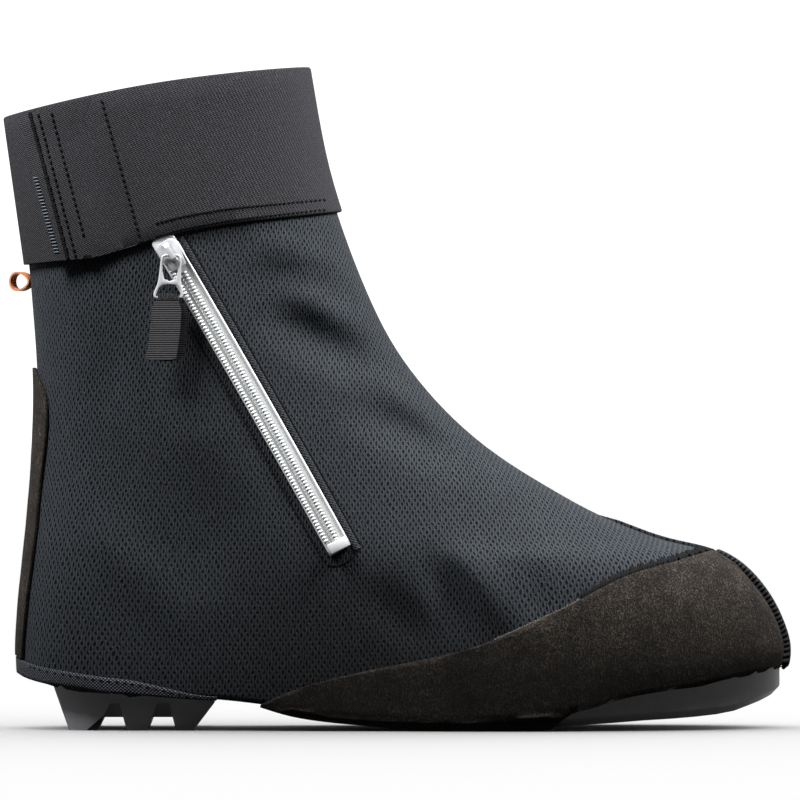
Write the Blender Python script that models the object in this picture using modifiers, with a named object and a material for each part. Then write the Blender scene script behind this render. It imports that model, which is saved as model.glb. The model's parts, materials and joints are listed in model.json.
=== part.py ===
"""Winter overshoe for the right foot: a softshell boot cover on a moulded sole.

The toe points to +X, the outer side of the foot to -Y, and the floor is z = 0.
The upper is one surface, lofted through the sections of a short table, and every
overlay, the zip, the cuff, the sole's rim and the insole take their places from it.
"""

from collections import namedtuple
from functools import lru_cache
from math import acos, ceil, cos, floor, pi, radians, sin, tau

import bmesh
import bpy
from mathutils import Matrix, Vector


# Driving sizes, in metres
LENGTH = 0.3075            # of the upper, from heel to toe
HEIGHT = 0.2600            # of the collar's front corner above the floor
BALL_WIDTH = 0.0980        # across the widest place of the forefoot
HEEL_WIDTH = 0.0740
SHAFT_WIDTH = 0.0860       # across the collar
HEEL_LIFT = 0.0220         # of the hem at the back of the heel above the floor

WALL = 0.0016              # softshell
GAP = 0.0003               # between pieces that meet
LIE = 0.0005               # between the upper and what lies on it
GUARD_LIE = 0.0007         # between the upper and the toe guard, which bends around the toe
SUEDE = 0.0013
STRIP = 0.0015             # ribbed webbing of the toe strip
BINDING = 0.0010
BINDING_WIDTH = 0.0058
ELASTIC = 0.0018
FLAP = 0.0017
CUFF_RISE = 0.0008         # of the cuff's edge above the upper's
SEAM_HEIGHT = 0.0008
SEAM_WIDTH = 0.0042

TOE_STRIP_WIDTH = 0.0150
HEEL_STRIP_WIDTH = 0.0330

INSOLE = 0.0030
WELT_CHAMFER = 0.0030      # of the sole plate's lower edge
HEM_MARGIN = 1.2           # of the plate's widest ring above and below, in chamfers
STRAP_CHAMFER = 0.0045     # of the guard where it turns under the foot
STRAP_SIDE = 0.6           # most of the strap's height that its chamfer takes
STRAP_CORNERS = (0.3, 0.5, 0.7)    # points across the strap's underside, as shares of its width
HEM_COVER = 0.0008         # how far the guard hangs below the upper's hem
WEB_HEIGHT = 0.0050        # of the heel block's inner web above the floor
LUG_DEPTH = 0.0105         # of the grooves between the lugs
HEEL_BLOCK_WIDTH = 0.0600
BLOCK_SETBACK = 0.0035     # of the heel block inside the edge of the sole plate
WEB_INSET = 0.0070         # of the inner web from the lugs' ends
BLOCK_SINK = 0.0030        # of the heel block's top below the top of the sole plate
BLOCK_MIDDLE = -0.30       # place of the heel block along x, as a share of LENGTH

TAG_WIDTH = 0.0068
TAG_REACH = 0.0084
TAG_RIBBON = 0.0009
TAG_GAP = 0.0012
TAG_HEIGHT = 0.1755

ZIP_WIDTH = 0.0093
ZIP_TAPE = 0.0009
ZIP_CLEAR = 0.0006         # between the tape's top end and the cuff
TEETH_WIDTH = 0.0054
TEETH_HEIGHT = 0.0011
TEETH_OFFSET = 0.0016      # of the teeth from the tape's middle, towards the heel
STOP_LENGTH = 0.0042
STOP_WIDTH = 0.0080
STOP_HEIGHT = 0.0026
SLIDER_LENGTH = 0.0120
SLIDER_WIDTH = 0.0088
SLIDER_HEIGHT = 0.0027
RUN_STEP = 0.03            # share of the zip's line over which its direction is taken
SIDE_STEP = 0.003          # step across the line for its tilt
CROWN_LENGTH = 0.0078
CROWN_WIDTH = 0.0022
CROWN_THICKNESS = 0.0011
CROWN_GAP = 0.0022         # clear height under the crown, where the wire turns
CROWN_BEND = 0.0013        # of its corners
CROWN_POST = 0.0010        # length of each of its two posts
CROWN_BACK = -0.0009       # of the crown's middle from the slider's middle, down the zip
HINGE_SHIFT = 0.0002       # of the hinge from the slider's middle, down the zip
HINGE_RISE = 0.0011        # of the hinge above the slider's face
PULL_LEAN = radians(0.5)   # of the resting pull towards the shoe
PULL_WIRE = 0.0013
PULL_EYE = 0.0072          # width of the wire loop at the slider
PULL_WAIST = 0.0080        # length from the hinge to the cross bar
PULL_FOOT = 0.0108         # width of the wire loop at the webbing
PULL_LENGTH = 0.0138
WEBBING_WIDTH = 0.0122
WEBBING_LENGTH = 0.0235
WEBBING = 0.0011
NECK_WIDTH = 0.0088        # of the webbing where it turns around the wire
NECK_LENGTH = 0.0045

# Left and right curve of the foot, each at the hem
TOE_SWING = 0.0070         # of the toe's tip towards the inner side
OUTER_WAIST = 0.0020       # fullness of the outer side at the waist
INNER_ARCH = 0.0035        # hollow of the inner side at the arch
SWING_START = 0.62         # where the swing sets in, as a share of the ring's length
LOW_FOOT = 8.0             # level at which these curves have faded out
Hump = namedtuple("Hump", "middle spread")
OUTER_HUMP = Hump(0.45, 0.30)
INNER_HUMP = Hump(0.42, 0.28)

# Plan of a ring: where its widths are measured, and how round its ends are
HEEL_PLACE = 0.13          # shares of the ring's length from the back
WAIST_PLACE = 0.43
BALL_PLACE = 0.70
BACK_POWER = 2.15
FRONT_POWER = 2.25
HEEL_ROUND = 1.15          # reach of the round heel, in half widths

# Loft resolution
COLUMNS = 64
STEPS = 24                 # halvings of each search on the surface
SETTLE = 4                 # rounds in which a corner of an overlay settles on both its edges
ZIP_STEPS = 14
TURN_STEP = 0.004          # steps on each side of a point for the surface's normal
LEVEL_STEP = 0.05
SHARP = radians(35.0)      # faces that meet at more than this keep a hard edge
MERGE = 0.00001            # points closer than this are one

# A ring of the upper runs through a plane between a back point and a front point.
# Places along x are shares of LENGTH from the middle, heights are shares of HEIGHT.
# Half widths are shares of half of the named width: heel of HEEL_WIDTH, ball of
# BALL_WIDTH, and for both the same column carries over to the shaft, where the
# shaft column says how much of SHAFT_WIDTH has taken over. The toe column is the
# rounded stretch at the front as a share of the ring's own length, sag is how much
# of the hem's dip the ring follows, and bow lifts its middle as a share of HEIGHT.
Section = namedtuple("Section", "front_x front_z back_x back_z heel waist ball shaft toe sag bow")
SECTIONS = (
    Section(0.488, 0.098, -0.490, 0.087, 0.97, 0.80, 0.96, 0.00, 0.31, 1.00, 0.000),
    Section(0.492, 0.118, -0.491, 0.110, 0.99, 0.82, 0.99, 0.00, 0.31, 0.62, 0.000),
    Section(0.488, 0.144, -0.491, 0.133, 1.00, 0.83, 1.00, 0.00, 0.32, 0.30, 0.000),
    Section(0.472, 0.189, -0.489, 0.168, 1.00, 0.84, 0.99, 0.00, 0.34, 0.08, 0.000),
    Section(0.448, 0.227, -0.487, 0.201, 1.00, 0.85, 0.97, 0.00, 0.38, 0.00, 0.000),
    Section(0.421, 0.255, -0.484, 0.231, 1.00, 0.86, 0.95, 0.00, 0.44, 0.00, 0.000),
    Section(0.385, 0.272, -0.482, 0.254, 0.99, 0.86, 0.92, 0.00, 0.50, 0.00, 0.000),
    Section(0.338, 0.281, -0.480, 0.277, 0.98, 0.86, 0.88, 0.00, 0.56, 0.00, 0.000),
    Section(0.288, 0.303, -0.477, 0.307, 0.97, 0.86, 0.86, 0.05, 0.60, 0.00, 0.000),
    Section(0.238, 0.328, -0.475, 0.337, 0.96, 0.86, 0.85, 0.12, 0.64, 0.00, 0.000),
    Section(0.180, 0.368, -0.472, 0.372, 0.95, 0.87, 0.85, 0.22, 0.66, 0.00, 0.000),
    Section(0.121, 0.410, -0.470, 0.413, 0.94, 0.88, 0.86, 0.35, 0.66, 0.00, 0.000),
    Section(0.064, 0.466, -0.468, 0.463, 0.94, 0.89, 0.87, 0.52, 0.64, 0.00, 0.000),
    Section(0.019, 0.525, -0.467, 0.511, 0.94, 0.90, 0.88, 0.70, 0.61, 0.00, 0.000),
    Section(-0.018, 0.587, -0.469, 0.572, 0.95, 0.92, 0.89, 0.85, 0.58, 0.00, 0.000),
    Section(-0.047, 0.660, -0.474, 0.640, 0.96, 0.94, 0.90, 0.95, 0.56, 0.00, 0.000),
    Section(-0.075, 0.744, -0.478, 0.705, 0.97, 0.95, 0.92, 1.00, 0.55, 0.00, 0.004),
    Section(-0.106, 0.859, -0.490, 0.806, 0.98, 0.97, 0.94, 1.00, 0.54, 0.00, 0.008),
    Section(-0.125, 0.994, -0.504, 0.920, 1.00, 1.00, 0.97, 1.00, 0.53, 0.00, 0.010),
)
COLLAR = len(SECTIONS) - 1

# Lines seen from the side. x is a share of LENGTH from the middle.
Station = namedtuple("Station", "x height")

# The upper's hem, in shares of HEEL_LIFT
HEM = (
    Station(-0.490, 1.03), Station(-0.478, 0.94), Station(-0.462, 0.87), Station(-0.446, 0.83),
    Station(-0.373, 0.67), Station(-0.233, 0.56), Station(-0.180, 0.48), Station(-0.132, 0.38),
    Station(-0.080, 0.31), Station(0.000, 0.26), Station(0.180, 0.26), Station(0.218, 0.36),
    Station(0.250, 0.50), Station(0.290, 0.72), Station(0.324, 0.73), Station(0.356, 0.81),
    Station(0.387, 0.90), Station(0.426, 1.01), Station(0.459, 1.12), Station(0.490, 1.14),
)

# Bottom of the sole plate, in shares of HEEL_LIFT
SOLE_BOTTOM = (
    Station(-0.493, 1.06), Station(-0.446, 0.92), Station(-0.373, 0.74), Station(-0.233, 0.63),
    Station(-0.180, 0.56), Station(0.197, 0.085), Station(0.250, 0.125), Station(0.300, 0.180),
    Station(0.350, 0.215),
    Station(0.388, 0.255), Station(0.421, 0.310), Station(0.458, 0.480), Station(0.481, 0.610),
    Station(0.495, 0.760),
)

# Top of the sole plate, in shares of HEEL_LIFT
SOLE_TOP = (
    Station(-0.493, 1.30), Station(-0.373, 1.28), Station(-0.233, 1.15), Station(-0.130, 0.92),
    Station(0.000, 0.68), Station(0.180, 0.66), Station(0.250, 0.84), Station(0.324, 1.02),
    Station(0.387, 1.16), Station(0.459, 1.34), Station(0.495, 1.42),
)

# Top edge of the toe guard, in shares of HEIGHT
GUARD_TOP = (
    Station(-0.182, 0.037), Station(-0.159, 0.056), Station(-0.134, 0.064), Station(-0.097, 0.077),
    Station(-0.036, 0.094), Station(0.026, 0.107), Station(0.067, 0.118), Station(0.101, 0.129),
    Station(0.152, 0.156), Station(0.203, 0.183), Station(0.237, 0.206), Station(0.274, 0.227),
    Station(0.298, 0.237), Station(0.334, 0.248), Station(0.370, 0.258), Station(0.415, 0.270),
    Station(0.490, 0.280),
)
GUARD_REAR = -0.180        # rear tip of the guard
STRAP_FRONT = 0.217        # front edge of the strap under the forefoot
STRAP_SLANT = 0.0100       # how far that edge runs back from the hem to the underside
SLANT_START = 0.030        # place along x from which the strap's rows lean back

# Lower face of the strap under the forefoot, in shares of HEEL_LIFT
STRAP_BOTTOM = (
    Station(-0.182, 0.42), Station(-0.157, 0.27), Station(-0.130, 0.19), Station(-0.080, 0.110),
    Station(-0.035, 0.060), Station(0.015, 0.000), Station(0.200, 0.000),
)

# Lower edge of the cuff, in shares of HEIGHT
CUFF_EDGE = (
    Station(-0.485, 0.700), Station(-0.430, 0.706), Station(-0.390, 0.709), Station(-0.340, 0.727),
    Station(-0.277, 0.748), Station(-0.221, 0.760), Station(-0.079, 0.779),
)

# The overlapping end of the band lies between these lines, each from its foot to its top
FLAP_REAR = (Station(-0.431, 0.706), Station(-0.475, 0.938))
FLAP_FRONT = (Station(-0.336, 0.728), Station(-0.383, 0.948))

# Middle line of the zip, from its top to its foot
ZIP_LINE = (Station(-0.303, 0.734), Station(-0.1895, 0.502), Station(-0.079, 0.270))
SLIDER_PLACE = 0.045       # share of the zip's length from its top to the slider's middle

# One side of the slider's plan, in shares of half its length and half its width
Corner = namedtuple("Corner", "along across")
PULL_CORNER = 0.3          # inset of the wire's rounded corners, in wire thicknesses
PULL_FLARE = Corner(0.75, 0.45)    # bend of each leg, as shares of its widening and of its length
SLIDER_PLAN = (
    Corner(-1.00, 0.55), Corner(-0.75, 1.00), Corner(-0.10, 1.00), Corner(0.50, 0.82),
    Corner(1.00, 0.72),
)

# Heel strip: its half width at each height, in shares of half of HEEL_STRIP_WIDTH
HEEL_STRIP = (
    Station(0.100, 0.86), Station(0.160, 0.95), Station(0.270, 1.04), Station(0.385, 0.92),
    Station(0.450, 1.06), Station(0.495, 1.00), Station(0.520, 0.80), Station(0.535, 0.55),
    Station(0.545, 0.25),
)

TOE_STRIP_TOP = 5.5        # level where the toe strip ends
SEAM_START = 0.15          # levels between the toe strip and the instep seam
SEAM_END = 9.0             # level where the instep seam runs out
BINDING_END = -0.235       # place along x where the hem binding ends, as a share of LENGTH

# Heel block from the side. Places along x are shares of LENGTH, and the shoulder, where the
# slanted rear of a lug begins, is a share of HEEL_LIFT.
Lug = namedtuple("Lug", "heel_top shoulder heel_foot front_foot front_top")
LUGS = (
    Lug(-0.4455, 0.82, -0.4240, -0.3890, -0.3720),
    Lug(-0.3600, 0.48, -0.3505, -0.3250, -0.3120),
    Lug(-0.2970, 0.48, -0.2880, -0.2660, -0.2400),
)

# Colour, roughness and metallic value of each finish
Finish = namedtuple("Finish", "name color roughness metallic")
SOFTSHELL = Finish("dimpled softshell", (0.030, 0.034, 0.039), 0.80, 0.0)
SUEDE_FINISH = Finish("brown suede", (0.030, 0.024, 0.020), 0.95, 0.0)
WEBBING_FINISH = Finish("black webbing", (0.020, 0.020, 0.021), 0.85, 0.0)
TWILL = Finish("twill binding", (0.035, 0.038, 0.044), 0.80, 0.0)
ELASTIC_FINISH = Finish("elastic band", (0.048, 0.047, 0.050), 0.88, 0.0)
RIBBON = Finish("orange ribbon", (0.300, 0.095, 0.030), 0.70, 0.0)
ZIP_SILVER = Finish("silver zip tape", (0.550, 0.560, 0.560), 0.45, 0.0)
ZIP_METAL = Finish("white enamelled metal", (0.700, 0.710, 0.730), 0.35, 0.0)
RUBBER = Finish("sole rubber", (0.025, 0.025, 0.026), 0.50, 0.0)
FOAM = Finish("insole foam", (0.060, 0.060, 0.062), 0.90, 0.0)


def clear_scene():
    for item in list(bpy.data.objects):
        bpy.data.objects.remove(item, do_unlink=True)


def make_collection(name):
    group = bpy.data.collections.new(name)
    bpy.context.scene.collection.children.link(group)
    return group


def material_of(finish):
    found = bpy.data.materials.get(finish.name)
    if found:
        return found
    made = bpy.data.materials.new(finish.name)
    made.use_nodes = True
    shader = made.node_tree.nodes["Principled BSDF"]
    shader.inputs["Base Color"].default_value = (*finish.color, 1.0)
    shader.inputs["Roughness"].default_value = finish.roughness
    shader.inputs["Metallic"].default_value = finish.metallic
    made.diffuse_color = (*finish.color, 1.0)
    return made


# Curves through tables

def blend(low, high, share):
    return low + (high - low) * share


def smooth(share):
    share = min(max(share, 0.0), 1.0)
    return share * share * (3.0 - 2.0 * share)


def cubic(before, start, end, after, share):
    """Catmull-Rom value between start and end."""
    slope_in = (end - before) / 2.0
    slope_out = (after - start) / 2.0
    rise = end - start
    return (start + slope_in * share + (3 * rise - 2 * slope_in - slope_out) * share ** 2
            + (slope_in + slope_out - 2 * rise) * share ** 3)


def section_at(level):
    """Section of the upper at a level, where level 3.5 lies midway between rows 3 and 4."""
    level = min(max(level, 0.0), float(COLLAR))
    row = min(int(level), COLLAR - 1)
    rows = [SECTIONS[min(max(row + step, 0), COLLAR)] for step in (-1, 0, 1, 2)]
    return Section(*(cubic(*values, level - row) for values in zip(*rows)))


def line_at(stations, x_share):
    """Height share of a side line at a place along x, straight between its stations."""
    if x_share <= stations[0].x:
        return stations[0].height
    for near, far in zip(stations, stations[1:]):
        if x_share <= far.x:
            return blend(near.height, far.height, (x_share - near.x) / (far.x - near.x))
    return stations[-1].height


def height_on(stations, x, unit):
    return line_at(stations, x / LENGTH) * unit


# The upper's outer surface

def envelope(distance, reach, power):
    """Rise of a rounded end from 0 to 1 over its reach."""
    if distance >= reach:
        return 1.0
    return (1.0 - (1.0 - max(distance, 0.0) / reach) ** power) ** (1.0 / power)


def half_width(row, along, length):
    """Half width of a ring at a share of its length from the back."""
    heel = row.heel * blend(HEEL_WIDTH, SHAFT_WIDTH, row.shaft) / 2
    waist = row.waist * blend(BALL_WIDTH, SHAFT_WIDTH, row.shaft) / 2
    ball = row.ball * blend(BALL_WIDTH, SHAFT_WIDTH, row.shaft) / 2
    if along < WAIST_PLACE:
        width = blend(heel, waist, smooth((along - HEEL_PLACE) / (WAIST_PLACE - HEEL_PLACE)))
    else:
        width = blend(waist, ball, smooth((along - WAIST_PLACE) / (BALL_PLACE - WAIST_PLACE)))
    back_reach = blend(heel * HEEL_ROUND, length * 0.5, row.shaft)
    rounding = envelope(along * length, back_reach, BACK_POWER)
    rounding *= envelope((1.0 - along) * length, row.toe * length, FRONT_POWER)
    return width * rounding


def bell(value, hump):
    """Smooth hump of height 1 around its middle."""
    return smooth(1.0 - abs(value - hump.middle) / hump.spread)


def surface(level, turn):
    """Point of the outer surface: turn 0 is the back, 0.25 the outer side, 0.5 the front."""
    row = section_at(level)
    along = (1.0 - cos(tau * turn)) / 2.0
    back = Vector((row.back_x * LENGTH, 0.0, row.back_z * HEIGHT))
    front = Vector((row.front_x * LENGTH, 0.0, row.front_z * HEIGHT))
    length = (front - back).length
    place = back.lerp(front, along)
    low_foot = 1.0 - smooth(level / LOW_FOOT)
    side = -1.0 if sin(tau * turn) > 0.0 else 1.0
    width = half_width(row, along, length)
    if side < 0.0:
        width += low_foot * OUTER_WAIST * bell(along, OUTER_HUMP)
    else:
        width -= low_foot * INNER_ARCH * bell(along, INNER_HUMP)
    if abs(sin(tau * turn)) < 1e-9:
        width = 0.0
    swing = TOE_SWING * low_foot * smooth((along - SWING_START) / (1.0 - SWING_START))
    place.y = side * width + swing
    hem_line = blend(SECTIONS[0].back_z, SECTIONS[0].front_z, along) * HEIGHT
    place.z += row.sag * (height_on(HEM, place.x, HEEL_LIFT) - hem_line)
    place.z += row.bow * HEIGHT * sin(pi * along)
    return place


def normal_at(level, turn):
    low = max(level - LEVEL_STEP, 0.0)
    high = min(level + LEVEL_STEP, float(COLLAR))
    across = surface(level, turn + TURN_STEP) - surface(level, turn - TURN_STEP)
    up = surface(high, turn) - surface(low, turn)
    return across.cross(up).normalized()


def lifted(level, turn, lift):
    return surface(level, turn) + normal_at(level, turn) * lift


def search(low, high, is_past):
    """Value between low and high where is_past first holds."""
    for _ in range(STEPS):
        middle = (low + high) / 2.0
        if is_past(middle):
            high = middle
        else:
            low = middle
    return (low + high) / 2.0


# The upper's facets. Overlays lie on these, so that they clear the faceted wall everywhere.

@lru_cache(maxsize=None)
def lattice(lift):
    """Corners of the upper's facets, moved outwards by a lift."""
    return [[lifted(level, column / COLUMNS, lift) for column in range(COLUMNS)]
            for level in range(COLLAR + 1)]


def facet_point(level, column, lift=0.0):
    """Point on the facets between corners, at a level and a column that need not be whole."""
    rows = lattice(lift)
    ring = min(int(level), COLLAR - 1)
    slot = floor(column)
    near, far = slot % COLUMNS, (slot + 1) % COLUMNS
    low = rows[ring][near].lerp(rows[ring][far], column - slot)
    high = rows[ring + 1][near].lerp(rows[ring + 1][far], column - slot)
    return low.lerp(high, level - ring)


def level_where(column, is_past, lift=0.0):
    """Level on a column from which is_past holds for the point."""
    return search(0.0, float(COLLAR), lambda level: is_past(facet_point(level, column, lift)))


def level_over(column, stations):
    """Level on a column where it passes a line seen from the side."""
    return level_where(column, lambda place: place.z > height_on(stations, place.x, HEIGHT))


def column_off_middle(level, offset, front):
    """Column on the outer side whose point lies an offset away from the middle of the shoe."""
    half = COLUMNS / 2.0
    middle = facet_point(level, half if front else 0.0).y
    if front:
        return search(half / 2.0, half,
                      lambda column: middle - facet_point(level, column).y < offset)
    return search(0.0, half / 2.0, lambda column: middle - facet_point(level, column).y > offset)


def column_past(level, x):
    """Column on the outer side where a ring passes a place along x."""
    return search(0.0, COLUMNS / 2.0, lambda column: facet_point(level, column).x > x)


def clamp(value, low, high):
    return max(low, min(value, high))


# Meshes from grids of points

def grid_mesh(name, grids, closed=False):
    """Open surface through grids of points that share their edges; points that fall together merge."""
    build = bmesh.new()
    for rows in grids:
        corners = [[build.verts.new(point) for point in row] for row in rows]
        columns = len(rows[0])
        last = columns if closed else columns - 1
        for lower, upper in zip(corners, corners[1:]):
            for column in range(last):
                after = (column + 1) % columns
                build.faces.new((lower[column], lower[after], upper[after], upper[column]))
    bmesh.ops.remove_doubles(build, verts=build.verts, dist=MERGE)
    mesh = bpy.data.meshes.new(name)
    build.to_mesh(mesh)
    build.free()
    return mesh


def add_object(name, mesh, finish, group, parent=None):
    item = bpy.data.objects.new(name, mesh)
    group.objects.link(item)
    mesh.materials.clear()
    mesh.materials.append(material_of(finish))
    mesh.shade_smooth()
    mesh.set_sharp_from_angle(angle=SHARP)
    item.parent = parent
    return item


def thicken(item, thickness, outwards):
    """Wall of even thickness on an open surface whose normals point out of the shoe."""
    wall = item.modifiers.new("Wall", "SOLIDIFY")
    wall.thickness = thickness
    wall.offset = 1.0 if outwards else -1.0
    wall.use_even_offset = True
    wall.use_quality_normals = True


def overlay(name, finish, group, lift, thickness, columns, sides, foot, top, extra=(), hang=0.0):
    """Piece that lies on the upper. Sides gives its first and last column at a level,
    foot and top give its lowest and highest level at a column, columns is its widest reach,
    extra levels give it more rows where an edge turns quickly, and its foot hangs lower."""
    across = list(range(ceil(columns[1]) - floor(columns[0]) + 1))
    lowest = floor(min(foot(column) for column in columns))
    highest = ceil(max(top(column) for column in columns))
    rows = []
    for ring in sorted([*range(lowest, highest + 1), *extra]):
        row = []
        for step in across:
            column, level = floor(columns[0]) + step, ring
            for _ in range(SETTLE):
                column = clamp(floor(columns[0]) + step, *sides(level))
                level = clamp(ring, foot(column), top(column))
            row.append(facet_point(level, column, lift))
        rows.append(row)
    for point in rows[0]:
        point.z -= hang
    item = add_object(name, grid_mesh(name, [rows]), finish, group)
    thicken(item, thickness, outwards=True)
    return item


def loft_mesh(name, rows):
    """Closed solid through rings of points, capped by ladders of quads from side to side."""
    build = bmesh.new()
    grid = [[build.verts.new(point) for point in row] for row in rows]
    count = len(rows[0])
    for lower, upper in zip(grid, grid[1:]):
        for column in range(count):
            after = (column + 1) % count
            build.faces.new((lower[column], lower[after], upper[after], upper[column]))
    for ring in (grid[0], grid[-1]):
        for step in range(count // 2):
            corners = (ring[step], ring[step + 1], ring[(count - step - 1) % count],
                       ring[(count - step) % count])
            build.faces.new(list(dict.fromkeys(corners)))
    bmesh.ops.recalc_face_normals(build, faces=build.faces)
    mesh = bpy.data.meshes.new(name)
    build.to_mesh(mesh)
    build.free()
    return mesh


def prism_mesh(name, outline, depth, frame):
    """Solid from an outline in a frame's x and y, extruded along its z and centred on it."""
    build = bmesh.new()
    face = build.faces.new([build.verts.new((x, y, -depth / 2)) for x, y in outline])
    made = bmesh.ops.extrude_face_region(build, geom=[face])
    moved = [part for part in made["geom"] if isinstance(part, bmesh.types.BMVert)]
    bmesh.ops.translate(build, verts=moved, vec=(0.0, 0.0, depth))
    bmesh.ops.recalc_face_normals(build, faces=build.faces)
    bmesh.ops.transform(build, matrix=frame, verts=build.verts)
    mesh = bpy.data.meshes.new(name)
    build.to_mesh(mesh)
    build.free()
    return mesh


def add_cutter(name, mesh, cutters):
    item = bpy.data.objects.new(name, mesh)
    cutters.objects.link(item)
    item.hide_render = True
    item.display_type = "WIRE"
    return item


def combine(target, other, operation):
    join = target.modifiers.new(operation.title(), "BOOLEAN")
    join.operation = operation
    join.object = other


def frame_from(origin, x_axis, y_axis, z_axis):
    turned = Matrix((x_axis, y_axis, z_axis)).transposed().to_4x4()
    return Matrix.Translation(origin) @ turned


def arc(middle_x, middle_y, radius, start, end, steps):
    return [(middle_x + radius * cos(blend(start, end, step / steps)),
             middle_y + radius * sin(blend(start, end, step / steps))) for step in range(steps + 1)]


# Upper

def make_upper(group):
    mesh = grid_mesh("upper", [lattice(0.0)], closed=True)
    thicken(add_object("upper", mesh, SOFTSHELL, group), WALL, outwards=False)


# Outsole and insole

def under_strap(x):
    return GUARD_REAR * LENGTH <= x <= STRAP_FRONT * LENGTH


def sole_bottom(x):
    if under_strap(x):
        return height_on(STRAP_BOTTOM, x, HEEL_LIFT) + SUEDE + GAP
    return height_on(SOLE_BOTTOM, x, HEEL_LIFT)


def sole_top(x):
    return height_on(SOLE_TOP, x, HEEL_LIFT)


def rim_point(column, z, inset):
    """Point at a height inside the upper's wall, or inside its hem where it reaches lower."""
    level = level_where(column, lambda place: place.z > z, -inset)
    place = facet_point(level, column, -inset)
    place.z = z
    return place


def make_outsole(group, cutters):
    inset = WALL + GAP
    rows = [[], [], [], []]
    for column in range(COLUMNS):
        x = facet_point(0.0, column, -inset).x
        low, high = sole_bottom(x), sole_top(x)
        chamfer = min(WELT_CHAMFER, (high - low) / 3.0)
        margin = chamfer * HEM_MARGIN
        hem = clamp(facet_point(0.0, column, -inset).z, low + margin, high - margin + chamfer)
        inward = lattice(-inset)[0][column] - lattice(-inset - chamfer)[0][column]
        rows[0].append(rim_point(column, low, inset) - Vector((inward.x, inward.y, 0.0)))
        rows[1].append(rim_point(column, low + chamfer, inset))
        rows[2].append(rim_point(column, hem, inset))
        rows[3].append(rim_point(column, high, inset))
    sole = add_object("outsole", loft_mesh("outsole", rows), RUBBER, group)

    top = sole_top(BLOCK_MIDDLE * LENGTH) - BLOCK_SINK
    outline = [(LUGS[0].heel_top * LENGTH, top)]
    for lug in LUGS:
        outline += [(lug.heel_top * LENGTH, lug.shoulder * HEEL_LIFT), (lug.heel_foot * LENGTH, 0.0),
                    (lug.front_foot * LENGTH, 0.0), (lug.front_top * LENGTH, LUG_DEPTH)]
    outline.append((LUGS[-1].front_top * LENGTH, top))
    upright = frame_from(Vector(), Vector((1, 0, 0)), Vector((0, 0, 1)), Vector((0, -1, 0)))
    block = add_cutter("heel block", prism_mesh("heel block", outline, HEEL_BLOCK_WIDTH, upright),
                       cutters)
    plan = [facet_point(0.0, column, -inset - BLOCK_SETBACK) for column in range(COLUMNS)]
    plan_frame = Matrix.Translation((0.0, 0.0, top / 2.0))
    plan_mesh = prism_mesh("heel plan", [(place.x, place.y) for place in plan], top * 2.0, plan_frame)
    combine(block, add_cutter("heel plan", plan_mesh, cutters), "INTERSECT")
    back, front = LUGS[0].front_foot * LENGTH, LUGS[-1].heel_foot * LENGTH
    web_outline = [(back, top), (back, WEB_HEIGHT), (front, WEB_HEIGHT), (front, top)]
    web = add_cutter("heel web", prism_mesh("heel web", web_outline,
                                            HEEL_BLOCK_WIDTH - 2 * WEB_INSET, upright), cutters)
    combine(sole, block, "UNION")
    combine(sole, web, "UNION")


def make_insole(group):
    inset = WALL + 2 * GAP
    rows = [[], []]
    for column in range(COLUMNS):
        x = facet_point(0.0, column, -inset).x
        for row, lift in zip(rows, (GAP, GAP + INSOLE)):
            row.append(rim_point(column, sole_top(x) + lift, inset))
    add_object("insole", loft_mesh("insole", rows), FOAM, group)


# Suede, binding and webbing on the foot

def strap_row(outer, inner):
    """Points across the underside from the outer hem to the inner hem."""
    bottom = height_on(STRAP_BOTTOM, outer.x, HEEL_LIFT) + SUEDE
    chamfer = min(STRAP_CHAMFER, (outer.z - bottom) * STRAP_SIDE)
    lean = (outer.x / LENGTH - SLANT_START) / (STRAP_FRONT - SLANT_START)
    slant = STRAP_SLANT * clamp(lean, 0.0, 1.0)
    back = outer.x - slant
    row = [outer]
    row.append(Vector((outer.x - slant / 2.0, outer.y, bottom + chamfer)))
    row.append(Vector((back, outer.y + chamfer, bottom)))
    row += [Vector((back, blend(outer.y, inner.y, share), bottom)) for share in STRAP_CORNERS]
    row.append(Vector((back, inner.y - chamfer, bottom)))
    row.append(Vector((inner.x - slant / 2.0, inner.y, bottom + chamfer)))
    row.append(inner)
    return row


def make_toe_guard(group):
    edge = TOE_STRIP_WIDTH / 2.0 + 2 * GAP
    rear = column_past(0.0, GUARD_REAR * LENGTH)
    strap_front = column_past(0.0, STRAP_FRONT * LENGTH)
    last = int(COLUMNS / 2) - 1
    columns = [rear] + list(range(ceil(rear), last + 1)) + [strap_front]
    columns.sort()
    tops = {column: level_over(column, GUARD_TOP) for column in columns}
    highest = ceil(max(tops.values()))
    sides = []
    for inner in (False, True):
        rows = [[] for _ in range(highest + 2)]
        for column in columns + [last + 1]:
            for ring in range(-1, highest + 1):
                place, level = column, max(ring, 0)
                for _ in range(SETTLE):
                    place = min(column, column_off_middle(level, edge, True))
                    top = tops.get(column) or level_over(place, GUARD_TOP)
                    level = min(max(ring, 0), top)
                point = facet_point(level, COLUMNS - place if inner else place, GUARD_LIE)
                if ring < 0 and column > strap_front:
                    point.z -= HEM_COVER
                rows[ring + 1].append(point)
        if inner:
            rows = [list(reversed(row)) for row in rows]
        sides.append(rows)
    strap = []
    for column in [column for column in columns if column <= strap_front]:
        outer = facet_point(0.0, column, GUARD_LIE)
        inner = facet_point(0.0, COLUMNS - column, GUARD_LIE)
        strap.append(list(reversed(strap_row(outer, inner))))
    strap.reverse()
    item = add_object("toe_guard", grid_mesh("toe_guard", sides + [strap]), SUEDE_FINISH, group)
    thicken(item, SUEDE, outwards=True)


def middle_sides(width, front):
    """Sides of an overlay of a given width on the middle line of the shoe."""
    def sides(level):
        column = column_off_middle(level, width / 2.0, front)
        return (column, COLUMNS - column) if front else (-column, column)
    return sides


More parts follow.
